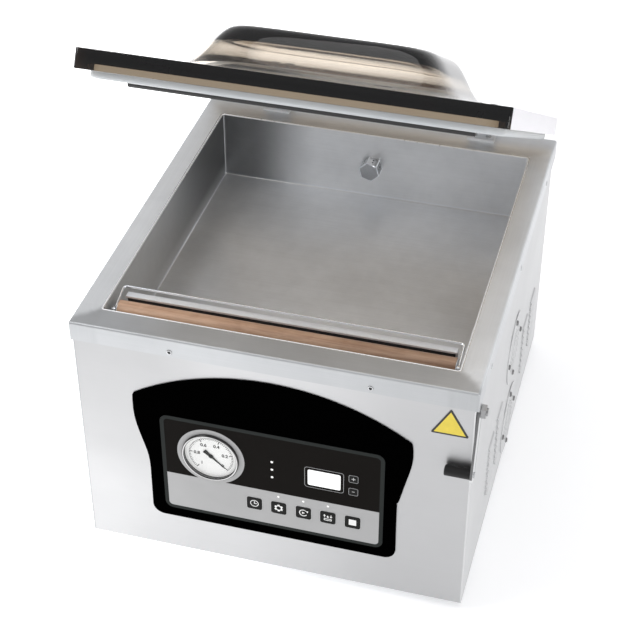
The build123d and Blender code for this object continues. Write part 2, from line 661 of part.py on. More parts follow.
with BuildPart() as warning_plate:
    with BuildSketch(front(F0)):
        with BuildLine():
            Polyline((182.8, 277.2), (163.5, 243.8), (202.1, 243.8), close=True)
        make_face()
        fillet(vertices(), radius=1.2)
    extrude(amount=0.5)
save(warning_plate, "warning_plate")

with BuildPart() as control_board:
    with BuildSketch(front(-227.4)):
        with Locations((38.5, 129.0)):
            Rectangle(126, 92)
    extrude(amount=1.6)
    with BuildSketch(front(-227.4)):
        with Locations((-5, 110)):
            Rectangle(16, 16)
        with Locations((38, 105)):
            Rectangle(26, 12)
        with Locations((80, 108)):
            Rectangle(14, 18)
        with Locations((30, 150)):
            Rectangle(20, 20)
        with Locations((85, 150)):
            Circle(6)
    extrude(amount=-9)
    with BuildSketch(front(-229.0)):
        with Locations(DISPLAY_C):
            Rectangle(34, 20)
    extrude(amount=4.6)
save(control_board, "control_board")

# ---------------------------------------------------------- internal machinery
with BuildPart() as pump_mounts:
    with Locations(*[(x, y, FOOT_H + SHEET) for x in (-150, 10) for y in (20, 130)]):
        Cylinder(11, 14, align=(Align.CENTER, Align.CENTER, Align.MIN))
save(pump_mounts, "pump_mounts")

with BuildPart() as vacuum_pump:
    with BuildSketch(Plane.XY.offset(FOOT_H + SHEET + 14)):
        with Locations((-70, 75)):
            Rectangle(190, 130)
    extrude(amount=8)
    with BuildSketch(Plane.XY.offset(FOOT_H + SHEET + 22)):
        with Locations((-105, 75)):
            RectangleRounded(110, 118, 10)
    extrude(amount=92)
    with BuildSketch(Plane.XY.offset(FOOT_H + SHEET + 114)):
        with Locations((-115, 75)):
            RectangleRounded(80, 100, 10)
    extrude(amount=40)
    with BuildSketch(Plane.XY.offset(FOOT_H + SHEET + 154)):
        with Locations((-115, 45), (-115, 105)):
            Circle(14)
    extrude(amount=12)
    with BuildSketch(front(16)):
        with Locations((-105, 75)):
            Circle(40)
    extrude(amount=12)
    for k in range(7):
        with BuildSketch(Plane.XY.offset(FOOT_H + SHEET + 34 + k * 11)):
            with Locations((-105, 75)):
                RectangleRounded(106, 128, 6)
        extrude(amount=3)
save(vacuum_pump, "vacuum_pump")

with BuildPart() as pump_motor:
    with BuildSketch(right(-50)):
        with Locations((75, 92)):
            Circle(50)
    extrude(amount=100)
    for k in range(16):
        a = math.radians(22.5 * k)
        with BuildSketch(right(-40)):
            with Locations(Location((75 + 51 * math.cos(a), 92 + 51 * math.sin(a), 0), (0, 0, 1), math.degrees(a))):
                Rectangle(8, 3)
        extrude(amount=76)
    with BuildSketch(right(50)):
        with Locations((75, 92)):
            Circle(54)
    extrude(amount=22)
    with BuildSketch(Plane.XY.offset(138)):
        with Locations((0, 75)):
            Rectangle(50, 44)
    extrude(amount=26)
save(pump_motor, "pump_motor")

with BuildPart() as seal_transformer:
    with BuildSketch(Plane.XY.offset(FOOT_H + SHEET)):
        with Locations((110, -140)):
            Rectangle(96, 60)
    extrude(amount=3)
    with BuildSketch(Plane.XY.offset(FOOT_H + SHEET + 3)):
        with Locations((110, -140)):
            Rectangle(84, 34)
    extrude(amount=72)
    with BuildSketch(Plane.XY.offset(FOOT_H + SHEET + 16)):
        with Locations((110, -140)):
            RectangleRounded(46, 62, 8)
    extrude(amount=46)
save(seal_transformer, "seal_transformer")

with BuildPart() as valve_block:
    with BuildSketch(Plane.XY.offset(176)):
        with Locations((70, 195)):
            Rectangle(120, 30)
    extrude(amount=26)
    for x in (28, 70, 112):
        with BuildSketch(Plane.XY.offset(176)):
            with Locations((x, 195)):
                Circle(13)
        extrude(amount=-44)
    with BuildSketch(front(180)):
        with Locations((40, 189), (98, 189)):
            Circle(7)
    extrude(amount=10)
save(valve_block, "valve_block")

# hoses from the chamber port and the pump's inlet to the valve block
with BuildPart() as vacuum_hoses:
    with BuildLine():
        h1 = Spline((0, 213, PORT_Z), (4, 222, 250), (22, 222, 225), (30, 212, 202.2), tangents=((0, 1, 0), (0, -0.5, -1)))
    with BuildSketch(Plane(origin=(0, 213, PORT_Z), x_dir=(1, 0, 0), z_dir=(0, 1, 0))):
        Circle(6.5)
    sweep()
with BuildPart() as hose_2:
    with BuildLine():
        p0 = Line((40, 169.5, 189), (40, 160, 189))
        p1 = ThreePointArc((40, 160, 189), (34.1, 145.9, 189), (20, 140, 189))
        p2 = Line((20, 140, 189), (-85, 140, 189))
        p3 = ThreePointArc((-85, 140, 189), (-106.2, 131.2, 189), (-115, 110, 189))
        p4 = Line((-115, 110, 189), (-115, 105.0, 189))
    with BuildSketch(Plane(origin=(40, 169.5, 189), x_dir=(1, 0, 0), z_dir=(0, -1, 0))):
        Circle(6.5)
    sweep()
    with BuildSketch(Plane.XY.offset(177.6)):
        with Locations((-115, 105)):
            Circle(7.5)
    extrude(amount=19)
hoses = Compound(label="vacuum_hoses", children=[vacuum_hoses.part.solids()[0], hose_2.part.solids()[0]])
export_step(hoses, "parts/vacuum_hoses.step")

# ---------------------------------------------------------------- side fans
FAN_X0 = 192.5
with BuildPart() as fan_frames:
    for z in FAN_Z:
        with BuildSketch(right(FAN_X0)):
            with Locations((FAN_Y, z)):
                Circle(33.0)
                with PolarLocations(FAN_SCREW_R, 4):
                    Circle(4.6)
            with Locations((FAN_Y, z)):
                Circle(29.0, mode=Mode.SUBTRACT)
                with PolarLocations(FAN_SCREW_R, 4):
                    Circle(1.7, mode=Mode.SUBTRACT)
        extrude(amount=13.0)
        with BuildSketch(right(FAN_X0)):
            with Locations((FAN_Y, z)):
                Circle(12.0)
            for k in range(3):
                a = math.radians(30 + 120 * k)
                with Locations(Location((FAN_Y + 21 * math.cos(a), z + 21 * math.sin(a), 0), (0, 0, 1), math.degrees(a))):
                    Rectangle(19, 4)
            with Locations((FAN_Y, z)):
                Circle(1.5 + FIT, mode=Mode.SUBTRACT)
        extrude(amount=2.5)
save(fan_frames, "fan_frames")

for name, z in (("fan_rotor_upper", FAN_Z[0]), ("fan_rotor_lower", FAN_Z[1])):
    with BuildPart() as rotor:
        with BuildSketch(right(196.0)):
            with Locations((FAN_Y, z)):
                Circle(13.0)
        extrude(amount=8.5)
        for k in range(7):
            with BuildSketch(Plane(origin=(200.2, FAN_Y, z), x_dir=(1, 0, 0), z_dir=(0, math.cos(2 * math.pi * k / 7), math.sin(2 * math.pi * k / 7)))):
                Rectangle(1.2, 9.0, rotation=38)
            extrude(amount=27.0)
        with BuildSketch(right(196.0)):
            with Locations((FAN_Y, z)):
                Circle(13.0)
        extrude(amount=8.5)
        with BuildSketch(right(196.0)):
            with Locations((FAN_Y, z)):
                Circle(1.5)
        extrude(amount=-3.2)
    save(rotor, name)

with BuildPart() as fan_guards:
    for z in FAN_Z:
        with BuildSketch(right(BODY_HX)):
            with Locations((FAN_Y, z)):
                Circle(COVER_R)
                with PolarLocations(FAN_SCREW_R, 4):
                    Circle(1.7, mode=Mode.SUBTRACT)
                for r, n in ((8.0, 6), (14.0, 12), (20.0, 18), (26.0, 24)):
                    with PolarLocations(r, n):
                        Circle(1.6, mode=Mode.SUBTRACT)
        extrude(amount=COVER_T)
save(fan_guards, "fan_guards")

with BuildPart() as panel_screws:
    for z in FAN_Z:
        with BuildSketch(right(BODY_HX + COVER_T)):
            with Locations((FAN_Y, z)):
                with PolarLocations(FAN_SCREW_R, 4):
                    Circle(3.0)
        extrude(amount=1.9)
        with BuildSketch(right(BODY_HX + COVER_T)):
            with Locations((FAN_Y, z)):
                with PolarLocations(FAN_SCREW_R, 4):
                    Circle(1.5)
        extrude(amount=-12)
    with BuildSketch(rear(BODY_HY)):
        with Locations((-190, 30), (190, 30), (-190, 260), (190, 260), (-190, 145), (190, 145)):
            Circle(3.0)
    extrude(amount=1.9)
    with BuildSketch(rear(BODY_HY)):
        with Locations((-190, 30), (190, 30), (-190, 260), (190, 260), (-190, 145), (190, 145)):
            Circle(1.5)
    extrude(amount=-6)
save(panel_screws, "panel_screws")

# ------------------------------------------------------------------ mains inlet
IX, IZ = INLET_C
with BuildPart() as power_inlet:
    with BuildSketch(rear(BODY_HY)):
        with Locations((-IX, IZ)):
            RectangleRounded(34, 54, 3)
    extrude(amount=2.4)
    with BuildSketch(rear(BODY_HY)):
        with Locations((-IX, IZ)):
            Rectangle(28, 48)
    extrude(amount=-26)
    with BuildSketch(rear(BODY_HY + 2.4)):
        with Locations((-IX, IZ - 9)):
            RectangleRounded(24.4, 17.0, 2)
    extrude(amount=-18, mode=Mode.SUBTRACT)
    with BuildSketch(rear(BODY_HY + 2.4 - 18)):
        with Locations((-IX, IZ - 11.0), (-IX - 7, IZ - 7.0), (-IX + 7, IZ - 7.0)):
            Rectangle(2.0, 4.0)
    extrude(amount=15.5)
    with BuildSketch(rear(BODY_HY + 2.4)):
        with Locations((-IX, IZ + 14)):
            Rectangle(20.0, 15.6)
    extrude(amount=-14, mode=Mode.SUBTRACT)
    with BuildSketch(left(IX - 10)):
        with Locations((-(BODY_HY - 5.0), IZ + 14)):
            Circle(1.2 + FIT)
    extrude(amount=2.5, mode=Mode.SUBTRACT)
    with BuildSketch(right(IX + 10)):
        with Locations((BODY_HY - 5.0, IZ + 14)):
            Circle(1.2 + FIT)
    extrude(amount=2.5, mode=Mode.SUBTRACT)
save(power_inlet, "power_inlet")

with BuildPart() as power_rocker:
    with BuildSketch(right(IX)):
        with BuildLine():
            yy = BODY_HY - 5.0
            zz = IZ + 14
            ThreePointArc((yy + 6.2, zz - 5.6), (yy + 5.9, zz), (yy + 8.8, zz + 5.2))
            Polyline((yy + 8.8, zz + 5.2), (yy + 4.0, zz + 6.0), (yy - 2.2, zz + 4.0), (yy - 2.2, zz - 4.0), (yy + 2.0, zz - 6.0), (yy + 6.2, zz - 5.6))
        make_face()
    extrude(amount=9.4, both=True)
    with BuildSketch(right(IX)):
        with Locations((yy, zz)):
            Circle(1.2)
    extrude(amount=11.6, both=True)
save(power_rocker, "power_rocker")

# ------------------------------------------------------------------- side lever
LPY, LPZ = LEVER_PIVOT
LGY, LGZ = LEVER_GRIP
with BuildPart() as lever_stud:
    with BuildSketch(right(BODY_HX - SHEET)):
        with Locations(LEVER_PIVOT):
            RegularPolygon(6.5, 6, major_radius=False)
    extrude(amount=-4)
    with BuildSketch(right(BODY_HX - SHEET - 4)):
        with Locations(LEVER_PIVOT):
            Circle(4.0)
    extrude(amount=15.4)
    with BuildSketch(right(BODY_HX + 3.4)):
        with Locations(LEVER_PIVOT):
            RegularPolygon(6.5, 6, major_radius=False, rotation=12)
    extrude(amount=4.8)
save(lever_stud, "lever_stud")

lev_len = math.hypot(LGY - LPY, LGZ - LPZ)
lev_ang = math.degrees(math.atan2(LGZ - LPZ, LGY - LPY))
with BuildPart() as lever_arm:
    with BuildSketch(right(BODY_HX + 0.5)):
        with Locations(Location(((LPY + LGY) / 2, (LPZ + LGZ) / 2, 0), (0, 0, 1), lev_ang)):
            SlotCenterToCenter(lev_len, 17.0)
        with Locations(LEVER_PIVOT):
            Circle(4.0 + FIT, mode=Mode.SUBTRACT)
    extrude(amount=2.5)
    with BuildSketch(right(BODY_HX + 0.5)):
        with Locations(LEVER_GRIP):
            Circle(2.0)
    extrude(amount=2.5, mode=Mode.SUBTRACT)
save(lever_arm, "lever_arm")

with BuildPart() as lever_grip:
    with BuildSketch(right(BODY_HX + 0.5)):
        with Locations(LEVER_GRIP):
            Circle(5.5)
    extrude(amount=-26.5)
    chamfer(lever_grip.faces().sort_by(Axis.X)[0].edges(), 0.8)
    with BuildSketch(right(BODY_HX + 0.5)):
        with Locations(LEVER_GRIP):
            Circle(2.0)
    extrude(amount=2.5)
    with BuildSketch(right(BODY_HX + 3.0)):
        with Locations(LEVER_GRIP):
            Circle(3.2)
    extrude(amount=1.4)
save(lever_grip, "lever_grip")

# ------------------------------------------------------------------------- lid
GX, GY0, GY1 = 195.0, -451.0, -34.0      # gasket centre line in the lid plane

with BuildPart() as lid_shell:
    with BuildSketch(LID):
        with Locations((0, (LID_FRONT + LID_REAR) / 2)):
            RectangleRounded(2 * LID_HX, LID_REAR - LID_FRONT, 3.0)
    extrude(amount=LID_T)
    chamfer(lid_shell.edges().group_by(SortBy.LENGTH)[-1] + lid_shell.edges().group_by(SortBy.LENGTH)[-2], 0.8)
    for w, k, rr in ((LID_T - 0.5, 1.0, 70.0), (LID_T + 4.5, 0.922, 66.0), (LID_T + 16.0, 0.854, 62.0), (LID_T + 30.0, 0.795, 58.0),
                     (LID_T + 40.5, 0.735, 52.0), (LID_T + DOME_H, 0.62, 42.0)):
        with BuildSketch(LID.offset(w)):
            with Locations((0, DOME_Y)):
                RectangleRounded(2 * DOME_HX * k, 2 * DOME_HY * k, rr)
    loft()
    for w, k, rr in ((-0.6, 0.965, 66.0), (9.0, 0.935, 63.0), (LID_T + 2.0, 0.876, 58.0), (LID_T + 14.0, 0.822, 54.0), (LID_T + 24.0, 0.774, 48.0),
                     (LID_T + DOME_H - 13.0, 0.66, 40.0)):
        with BuildSketch(LID.offset(w)):
            with Locations((0, DOME_Y)):
                RectangleRounded(2 * DOME_HX * k, 2 * DOME_HY * k, rr)
    loft(mode=Mode.SUBTRACT)
    with BuildSketch(LID):
        with Locations((0, (GY0 + GY1) / 2)):
            RectangleRounded(2 * GX + 10.0, GY1 - GY0 + 10.0, 20.0)
            RectangleRounded(2 * GX - 10.0, GY1 - GY0 - 10.0, 10.0, mode=Mode.SUBTRACT)
    extrude(amount=GROOVE_D, mode=Mode.SUBTRACT)
    with BuildSketch(LID):
        for sx in (-1, 1):
            with Locations((sx * HINGE_X - 9, -17.5), (sx * HINGE_X + 9, -17.5)):
                Circle(2.7)
    extrude(amount=LID_T + 1, mode=Mode.SUBTRACT)
save(lid_shell, "lid_shell")

with BuildPart() as lid_gasket:
    with BuildSketch(LID.offset(-GASKET_DROP)):
        with Locations((0, (GY0 + GY1) / 2)):
            RectangleRounded(2 * GX + 10.0, GY1 - GY0 + 10.0, 20.0)
            RectangleRounded(2 * GX - 10.0, GY1 - GY0 - 10.0, 10.0, mode=Mode.SUBTRACT)
    extrude(amount=GASKET_DROP + GROOVE_D)
save(lid_gasket, "lid_gasket")

STRIP_Y = SEAL_Y - HINGE_Y
with BuildPart() as strip_holder:
    with BuildSketch(LID):
        with Locations((0, STRIP_Y)):
            Rectangle(344, 16)
    extrude(amount=-5.0)
    with BuildSketch(LID.offset(-5.0)):
        with Locations((0, STRIP_Y)):
            Rectangle(344, 8)
    extrude(amount=3.6, mode=Mode.SUBTRACT)
save(strip_holder, "strip_holder")

with BuildPart() as pressure_strip:
    with BuildSketch(LID.offset(-1.4)):
        with Locations((0, STRIP_Y)):
            Rectangle(340, 8)
    extrude(amount=-3.6)
    with BuildSketch(LID.offset(-5.0)):
        with Locations((0, STRIP_Y)):
            Rectangle(340, 10)
    extrude(amount=-5.9)
save(pressure_strip, "pressure_strip")

# hinges: fixed brackets on the deck, pins, and arms bolted under the lid
with BuildPart() as hinge_brackets:
    for sx in (-1, 1):
        with BuildSketch(Plane.XY.offset(DECK_TOP)):
            with Locations((sx * HINGE_X, 221)):
                Rectangle(32, 24)
            with Locations((sx * HINGE_X - 8, 217), (sx * HINGE_X + 8, 217)):
                Circle(2.1, mode=Mode.SUBTRACT)
        extrude(amount=3.0)
        for e in (-13.5, 13.5):
            with BuildSketch(right(sx * HINGE_X + e)):
                with Locations((HINGE_Y, HINGE_Z)):
                    Circle(5.0)
                with BuildLine():
                    Polyline((HINGE_Y - 5, HINGE_Z), (HINGE_Y + 1, HINGE_Z), (HINGE_Y + 1, DECK_TOP + 2.0), (HINGE_Y - 8, DECK_TOP + 2.0), close=True)
                make_face()
                with Locations((HINGE_Y, HINGE_Z)):
                    Circle(3.0, mode=Mode.SUBTRACT)
            extrude(amount=2.5, both=True)
save(hinge_brackets, "hinge_brackets")

with BuildPart() as hinge_pins:
    for sx in (-1, 1):
        with BuildSketch(right(sx * HINGE_X)):
            with Locations((HINGE_Y, HINGE_Z)):
                Circle(3.0)
        extrude(amount=16.0, both=True)
        for e in (-1, 1):
            with BuildSketch(right(sx * HINGE_X + e * 16.0)):
                with Locations((HINGE_Y, HINGE_Z)):
                    Circle(4.0)
            extrude(amount=e * 1.5)
save(hinge_pins, "hinge_pins")

with BuildPart() as hinge_arms:
    for sx in (-1, 1):
        with BuildSketch(LID):
            with Locations((sx * HINGE_X, -17.5)):
                Rectangle(32, 17)
            with Locations((sx * HINGE_X - 9, -17.5), (sx * HINGE_X + 9, -17.5)):
                Circle(2.7, mode=Mode.SUBTRACT)
        extrude(amount=-3.0)
        with BuildSketch(LID.offset(-3.0)):
            with Locations((sx * HINGE_X - 9, -17.5), (sx * HINGE_X + 9, -17.5)):
                Circle(4.2)
        extrude(amount=1.5, mode=Mode.SUBTRACT)
        with BuildSketch(LID):
            with Locations((sx * HINGE_X, -6.5)):
                Rectangle(20, 9)
        extrude(amount=-3.0)
        with BuildSketch(Plane(origin=(sx * HINGE_X, HINGE_Y, HINGE_Z), x_dir=(0, LC, -LS), z_dir=(1, 0, 0))):
            Circle(5.0)
            Circle(3.0 + FIT, mode=Mode.SUBTRACT)
        extrude(amount=10.0, both=True)
        with BuildSketch(Plane(origin=(sx * HINGE_X, HINGE_Y, HINGE_Z), x_dir=(0, LC, -LS), z_dir=(1, 0, 0))):
            Circle(3.0 + FIT)
        extrude(amount=12.0, both=True, mode=Mode.SUBTRACT)
    # the knuckle clears the slab's rear edge
    with BuildSketch(LID):
        with Locations((0, LID_REAR - 10)):
            Rectangle(400, 20)
    extrude(amount=6.0, mode=Mode.SUBTRACT)
save(hinge_arms, "hinge_arms")

with BuildPart() as hinge_arm_bolts:
    for sx in (-1, 1):
        for e in (-9, 9):
            with BuildSketch(LID.offset(-3.0)):
                with Locations((sx * HINGE_X + e, -17.5)):
                    Circle(2.5)
            extrude(amount=LID_T + 8.0)
            with BuildSketch(LID.offset(-3.0)):
                with Locations((sx * HINGE_X + e, -17.5)):
                    Circle(4.2)
            extrude(amount=1.5)
            with BuildSketch(LID.offset(LID_T)):
                with Locations((sx * HINGE_X + e, -17.5)):
                    Circle(6.0)
            extrude(amount=1.0)
            with BuildSketch(LID.offset(LID_T + 1.0)):
                with Locations((sx * HINGE_X + e, -17.5)):
                    RegularPolygon(4.6, 6, major_radius=False)
            extrude(amount=5.0)
save(hinge_arm_bolts, "hinge_arm_bolts")
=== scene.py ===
import bpy
import bmesh
import json
import math
from mathutils import Matrix, Vector


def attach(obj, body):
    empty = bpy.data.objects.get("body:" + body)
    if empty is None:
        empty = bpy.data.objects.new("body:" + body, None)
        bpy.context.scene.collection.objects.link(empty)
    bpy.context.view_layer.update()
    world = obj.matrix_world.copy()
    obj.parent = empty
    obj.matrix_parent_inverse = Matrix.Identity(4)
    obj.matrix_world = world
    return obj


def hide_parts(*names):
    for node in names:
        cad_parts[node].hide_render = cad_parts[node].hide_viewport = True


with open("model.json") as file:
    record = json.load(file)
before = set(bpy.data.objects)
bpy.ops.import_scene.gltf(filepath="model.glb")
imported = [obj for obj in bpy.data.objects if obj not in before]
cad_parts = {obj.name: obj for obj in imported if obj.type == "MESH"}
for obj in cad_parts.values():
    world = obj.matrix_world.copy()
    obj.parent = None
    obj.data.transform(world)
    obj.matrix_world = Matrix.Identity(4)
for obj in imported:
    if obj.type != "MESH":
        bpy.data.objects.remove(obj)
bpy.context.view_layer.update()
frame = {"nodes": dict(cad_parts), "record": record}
N = frame["nodes"]
BODY = {n: b for b, ns in frame["record"]["behaviour"]["bodies"].items() for n in ns}
MM = 0.001

# ------------------------------------------------------------------ dimensions
DECK_TOP = 0.303
BODY_HX, BODY_HY = 0.207, 0.234
CH_X, CH_Y0, CH_Y1 = 0.184, -0.206, 0.188
HINGE_Y, HINGE_Z = 0.232, 0.311
HINGE_X = 0.124
TILT = math.radians(31.4)
LS, LC = math.sin(TILT), math.cos(TILT)
LID = Matrix(((1, 0, 0, 0), (0, LC, LS, HINGE_Y), (0, -LS, LC, HINGE_Z), (0, 0, 0, 1)))
LID_HX, LID_FRONT, LID_REAR, LID_T = 0.208, -0.468, -0.006, 0.020
DOME_Y, DOME_HX, DOME_HY, DOME_H = -0.244, 0.148, 0.152, 0.046
GX, GY0, GY1 = 0.195, -0.451, -0.034
PORT_Z = 0.261
GAUGE = (-0.065, 0.1554)
KEYS = {"key_timer": -0.0187, "key_preset": 0.0079, "key_marinate": 0.0348, "key_clean": 0.0612, "key_stop": 0.0878}
KEY_Z, KEY_S = 0.1007, 0.0148
STEPS = {"key_plus": (0.088, 0.1623), "key_minus": (0.088, 0.1446)}
STEP_S = 0.0102
DISP = (0.0569, 0.1532, 0.0350, 0.0214)
LEDS = [(0.0012, 0.1642, 0.0015), (0.0012, 0.1536, 0.0015), (0.0012, 0.143, 0.0015), (0.0076, 0.1165, 0.0013), (0.0346, 0.1165, 0.0013), (0.0611, 0.1165, 0.0013)]


# ------------------------------------------------------------- material helper
class Mat:
    """A small builder for node materials."""

    def __init__(self, name, **sockets):
        self.m = bpy.data.materials.new(name)
        self.m.use_nodes = True
        self.t = self.m.node_tree
        self.b = next(n for n in self.t.nodes if n.type == "BSDF_PRINCIPLED")
        self.out = next(n for n in self.t.nodes if n.type == "OUTPUT_MATERIAL")
        for k, v in sockets.items():
            self.b.inputs[k.replace("_", " ")].default_value = v
        self._p = None

    def node(self, kind, **props):
        n = self.t.nodes.new(kind)
        for k, v in props.items():
            setattr(n, k, v)
        return n

    def put(self, socket, v):
        if hasattr(v, "is_output"):
            self.t.links.new(v, socket)
        elif v is not None:
            socket.default_value = v

    def P(self):
        if self._p is None:
            self._p = self.node("ShaderNodeTexCoord").outputs["Object"]
        return self._p

    def xyz(self):
        s = self.node("ShaderNodeSeparateXYZ")
        self.t.links.new(self.P(), s.inputs[0])
        return s.outputs[0], s.outputs[1], s.outputs[2]

    def vec(self, x, y, z):
        c = self.node("ShaderNodeCombineXYZ")
        for i, v in enumerate((x, y, z)):
            self.put(c.inputs[i], v)
        return c.outputs[0]

    def math(self, op, a, b=None, c=None, clamp=False):
        n = self.node("ShaderNodeMath", operation=op, use_clamp=clamp)
        self.put(n.inputs[0], a)
        if b is not None:
            self.put(n.inputs[1], b)
        if c is not None:
            self.put(n.inputs[2], c)
        return n.outputs[0]

    def scaled(self, scale, offset=(0, 0, 0), src=None):
        n = self.node("ShaderNodeMapping")
        self.put(n.inputs["Vector"], src if src is not None else self.P())
        n.inputs["Scale"].default_value = scale
        n.inputs["Location"].default_value = offset
        return n.outputs[0]

    def noise(self, scale=(1, 1, 1), detail=4.0, rough=0.55, offset=(0, 0, 0), distort=0.0, src=None):
        n = self.node("ShaderNodeTexNoise")
        self.put(n.inputs["Vector"], self.scaled(scale, offset, src))
        n.inputs["Scale"].default_value = 1.0
        n.inputs["Detail"].default_value = detail
        n.inputs["Roughness"].default_value = rough
        n.inputs["Distortion"].default_value = distort
        return n.outputs["Fac"]

    def voronoi(self, scale=(1, 1, 1), feature="F1", offset=(0, 0, 0)):
        n = self.node("ShaderNodeTexVoronoi", feature=feature)
        self.put(n.inputs["Vector"], self.scaled(scale, offset))
        n.inputs["Scale"].default_value = 1.0
        return n.outputs["Distance"]

    def span(self, v, a, b, c=0.0, d=1.0, kind="LINEAR"):
        n = self.node("ShaderNodeMapRange", interpolation_type=kind)
        self.put(n.inputs["Value"], v)
        n.inputs["From Min"].default_value = a
        n.inputs["From Max"].default_value = b
        n.inputs["To Min"].default_value = c
        n.inputs["To Max"].default_value = d
        return n.outputs["Result"]

    def mix(self, f, a, b):
        n = self.node("ShaderNodeMix", data_type="RGBA")
        self.put(n.inputs["Factor"], f)
        for k, v in (("A", a), ("B", b)):
            s = [i for i in n.inputs if i.name == k and i.type == "RGBA"][0]
            if isinstance(v, (tuple, list)):
                v = (v[0], v[1], v[2], 1.0)
            self.put(s, v)
        return [o for o in n.outputs if o.type == "RGBA"][0]

    def mul(self, col, f):
        n = self.node("ShaderNodeMix", data_type="RGBA", blend_type="MULTIPLY")
        n.inputs["Factor"].default_value = 1.0
        ins = [i for i in n.inputs if i.type == "RGBA"]
        if isinstance(col, (tuple, list)):
            col = (col[0], col[1], col[2], 1.0)
        self.put(ins[0], col)
        g = self.vec(f, f, f)
        self.t.links.new(g, ins[1])
        return [o for o in n.outputs if o.type == "RGBA"][0]

    def ramp(self, f, stops):
        n = self.node("ShaderNodeValToRGB")
        self.put(n.inputs[0], f)
        e = n.color_ramp.elements
        while len(e) < len(stops):
            e.new(0.5)
        for el, (pos, col) in zip(e, stops):
            el.position = pos
            el.color = (col[0], col[1], col[2], 1.0)
        return n.outputs[0]

    def bump(self, h, strength=0.2, dist=0.0005, prev=None):
        n = self.node("ShaderNodeBump")
        n.inputs["Strength"].default_value = strength
        n.inputs["Distance"].default_value = dist
        self.put(n.inputs["Height"], h)
        if prev is not None:
            self.t.links.new(prev, n.inputs["Normal"])
        return n.outputs[0]

    def set(self, **kw):
        for k, v in kw.items():
            s = self.b.inputs[k.replace("_", " ")]
            if hasattr(v, "is_output"):
                self.t.links.new(v, s)
            elif isinstance(v, (tuple, list)) and len(v) == 3 and s.type == "RGBA":
                s.default_value = (*v, 1.0)
            else:
                s.default_value = v
        return self


def steel(name, base, rough=0.30, grain="X", streak=0.10, bump=0.10, cloud=0.07, rvar=0.10, fine=700.0, long=9.0):
    """Brushed or satin stainless steel: long fine scratches along one axis, soft cloudy handling marks."""
    m = Mat(name, Metallic=1.0)
    sc = {"X": (long, fine, fine), "Y": (fine, long, fine), "Z": (fine, fine, long)}[grain]
    sc2 = {"X": (long * 0.35, fine * 0.16, fine * 0.16), "Y": (fine * 0.16, long * 0.35, fine * 0.16), "Z": (fine * 0.16, fine * 0.16, long * 0.35)}[grain]
    a = m.noise(sc, 6.0, 0.72)
    b = m.noise(sc2, 3.0, 0.6, offset=(3.1, 1.7, 2.2))
    s = m.math("ADD", m.math("MULTIPLY", a, 0.65), m.math("MULTIPLY", b, 0.35))
    c = m.noise((7, 7, 7), 3.0, 0.5, offset=(0.3, 0.9, 0.1))
    f = m.math("ADD", m.span(s, 0.3, 0.7, 1.0 - streak, 1.0 + streak), m.span(c, 0.3, 0.7, -cloud, cloud))
    m.set(Base_Color=m.mul(tuple(v * k for v, k in zip(base, (0.975, 0.99, 1.015))), f))
    r = m.math("ADD", m.span(s, 0.3, 0.7, rough - rvar * 0.5, rough + rvar * 0.5), m.span(m.noise((16, 16, 16), 4.0, 0.6, offset=(5, 2, 1)), 0.35, 0.75, -0.03, 0.05))
    m.set(Roughness=r, Normal=m.bump(s, bump, 0.0004))
    return m


def plastic(name, base, rough=0.45, grain=0.05, scale=1800.0, cloud=0.04, coat=0.0, spec=0.5):
    """Moulded plastic or rubber: fine grain in the surface and slight unevenness in gloss and colour."""
    m = Mat(name)
    g = m.noise((scale, scale, scale), 3.0, 0.6)
    c = m.noise((35, 35, 35), 4.0, 0.55, offset=(2, 5, 1))
    m.set(Base_Color=m.mul(base, m.span(c, 0.3, 0.7, 1.0 - cloud, 1.0 + cloud)))
    m.set(Roughness=m.math("ADD", m.span(c, 0.3, 0.7, rough - 0.05, rough + 0.05), m.span(g, 0.3, 0.7, -0.03, 0.03)))
    m.set(Normal=m.bump(g, grain, 0.0002))
    m.b.inputs["Specular IOR Level"].default_value = spec
    if coat:
        m.b.inputs["Coat Weight"].default_value = coat
        m.b.inputs["Coat Roughness"].default_value = 0.08
    return m


# ------------------------------------------------------------------- materials
M = {}


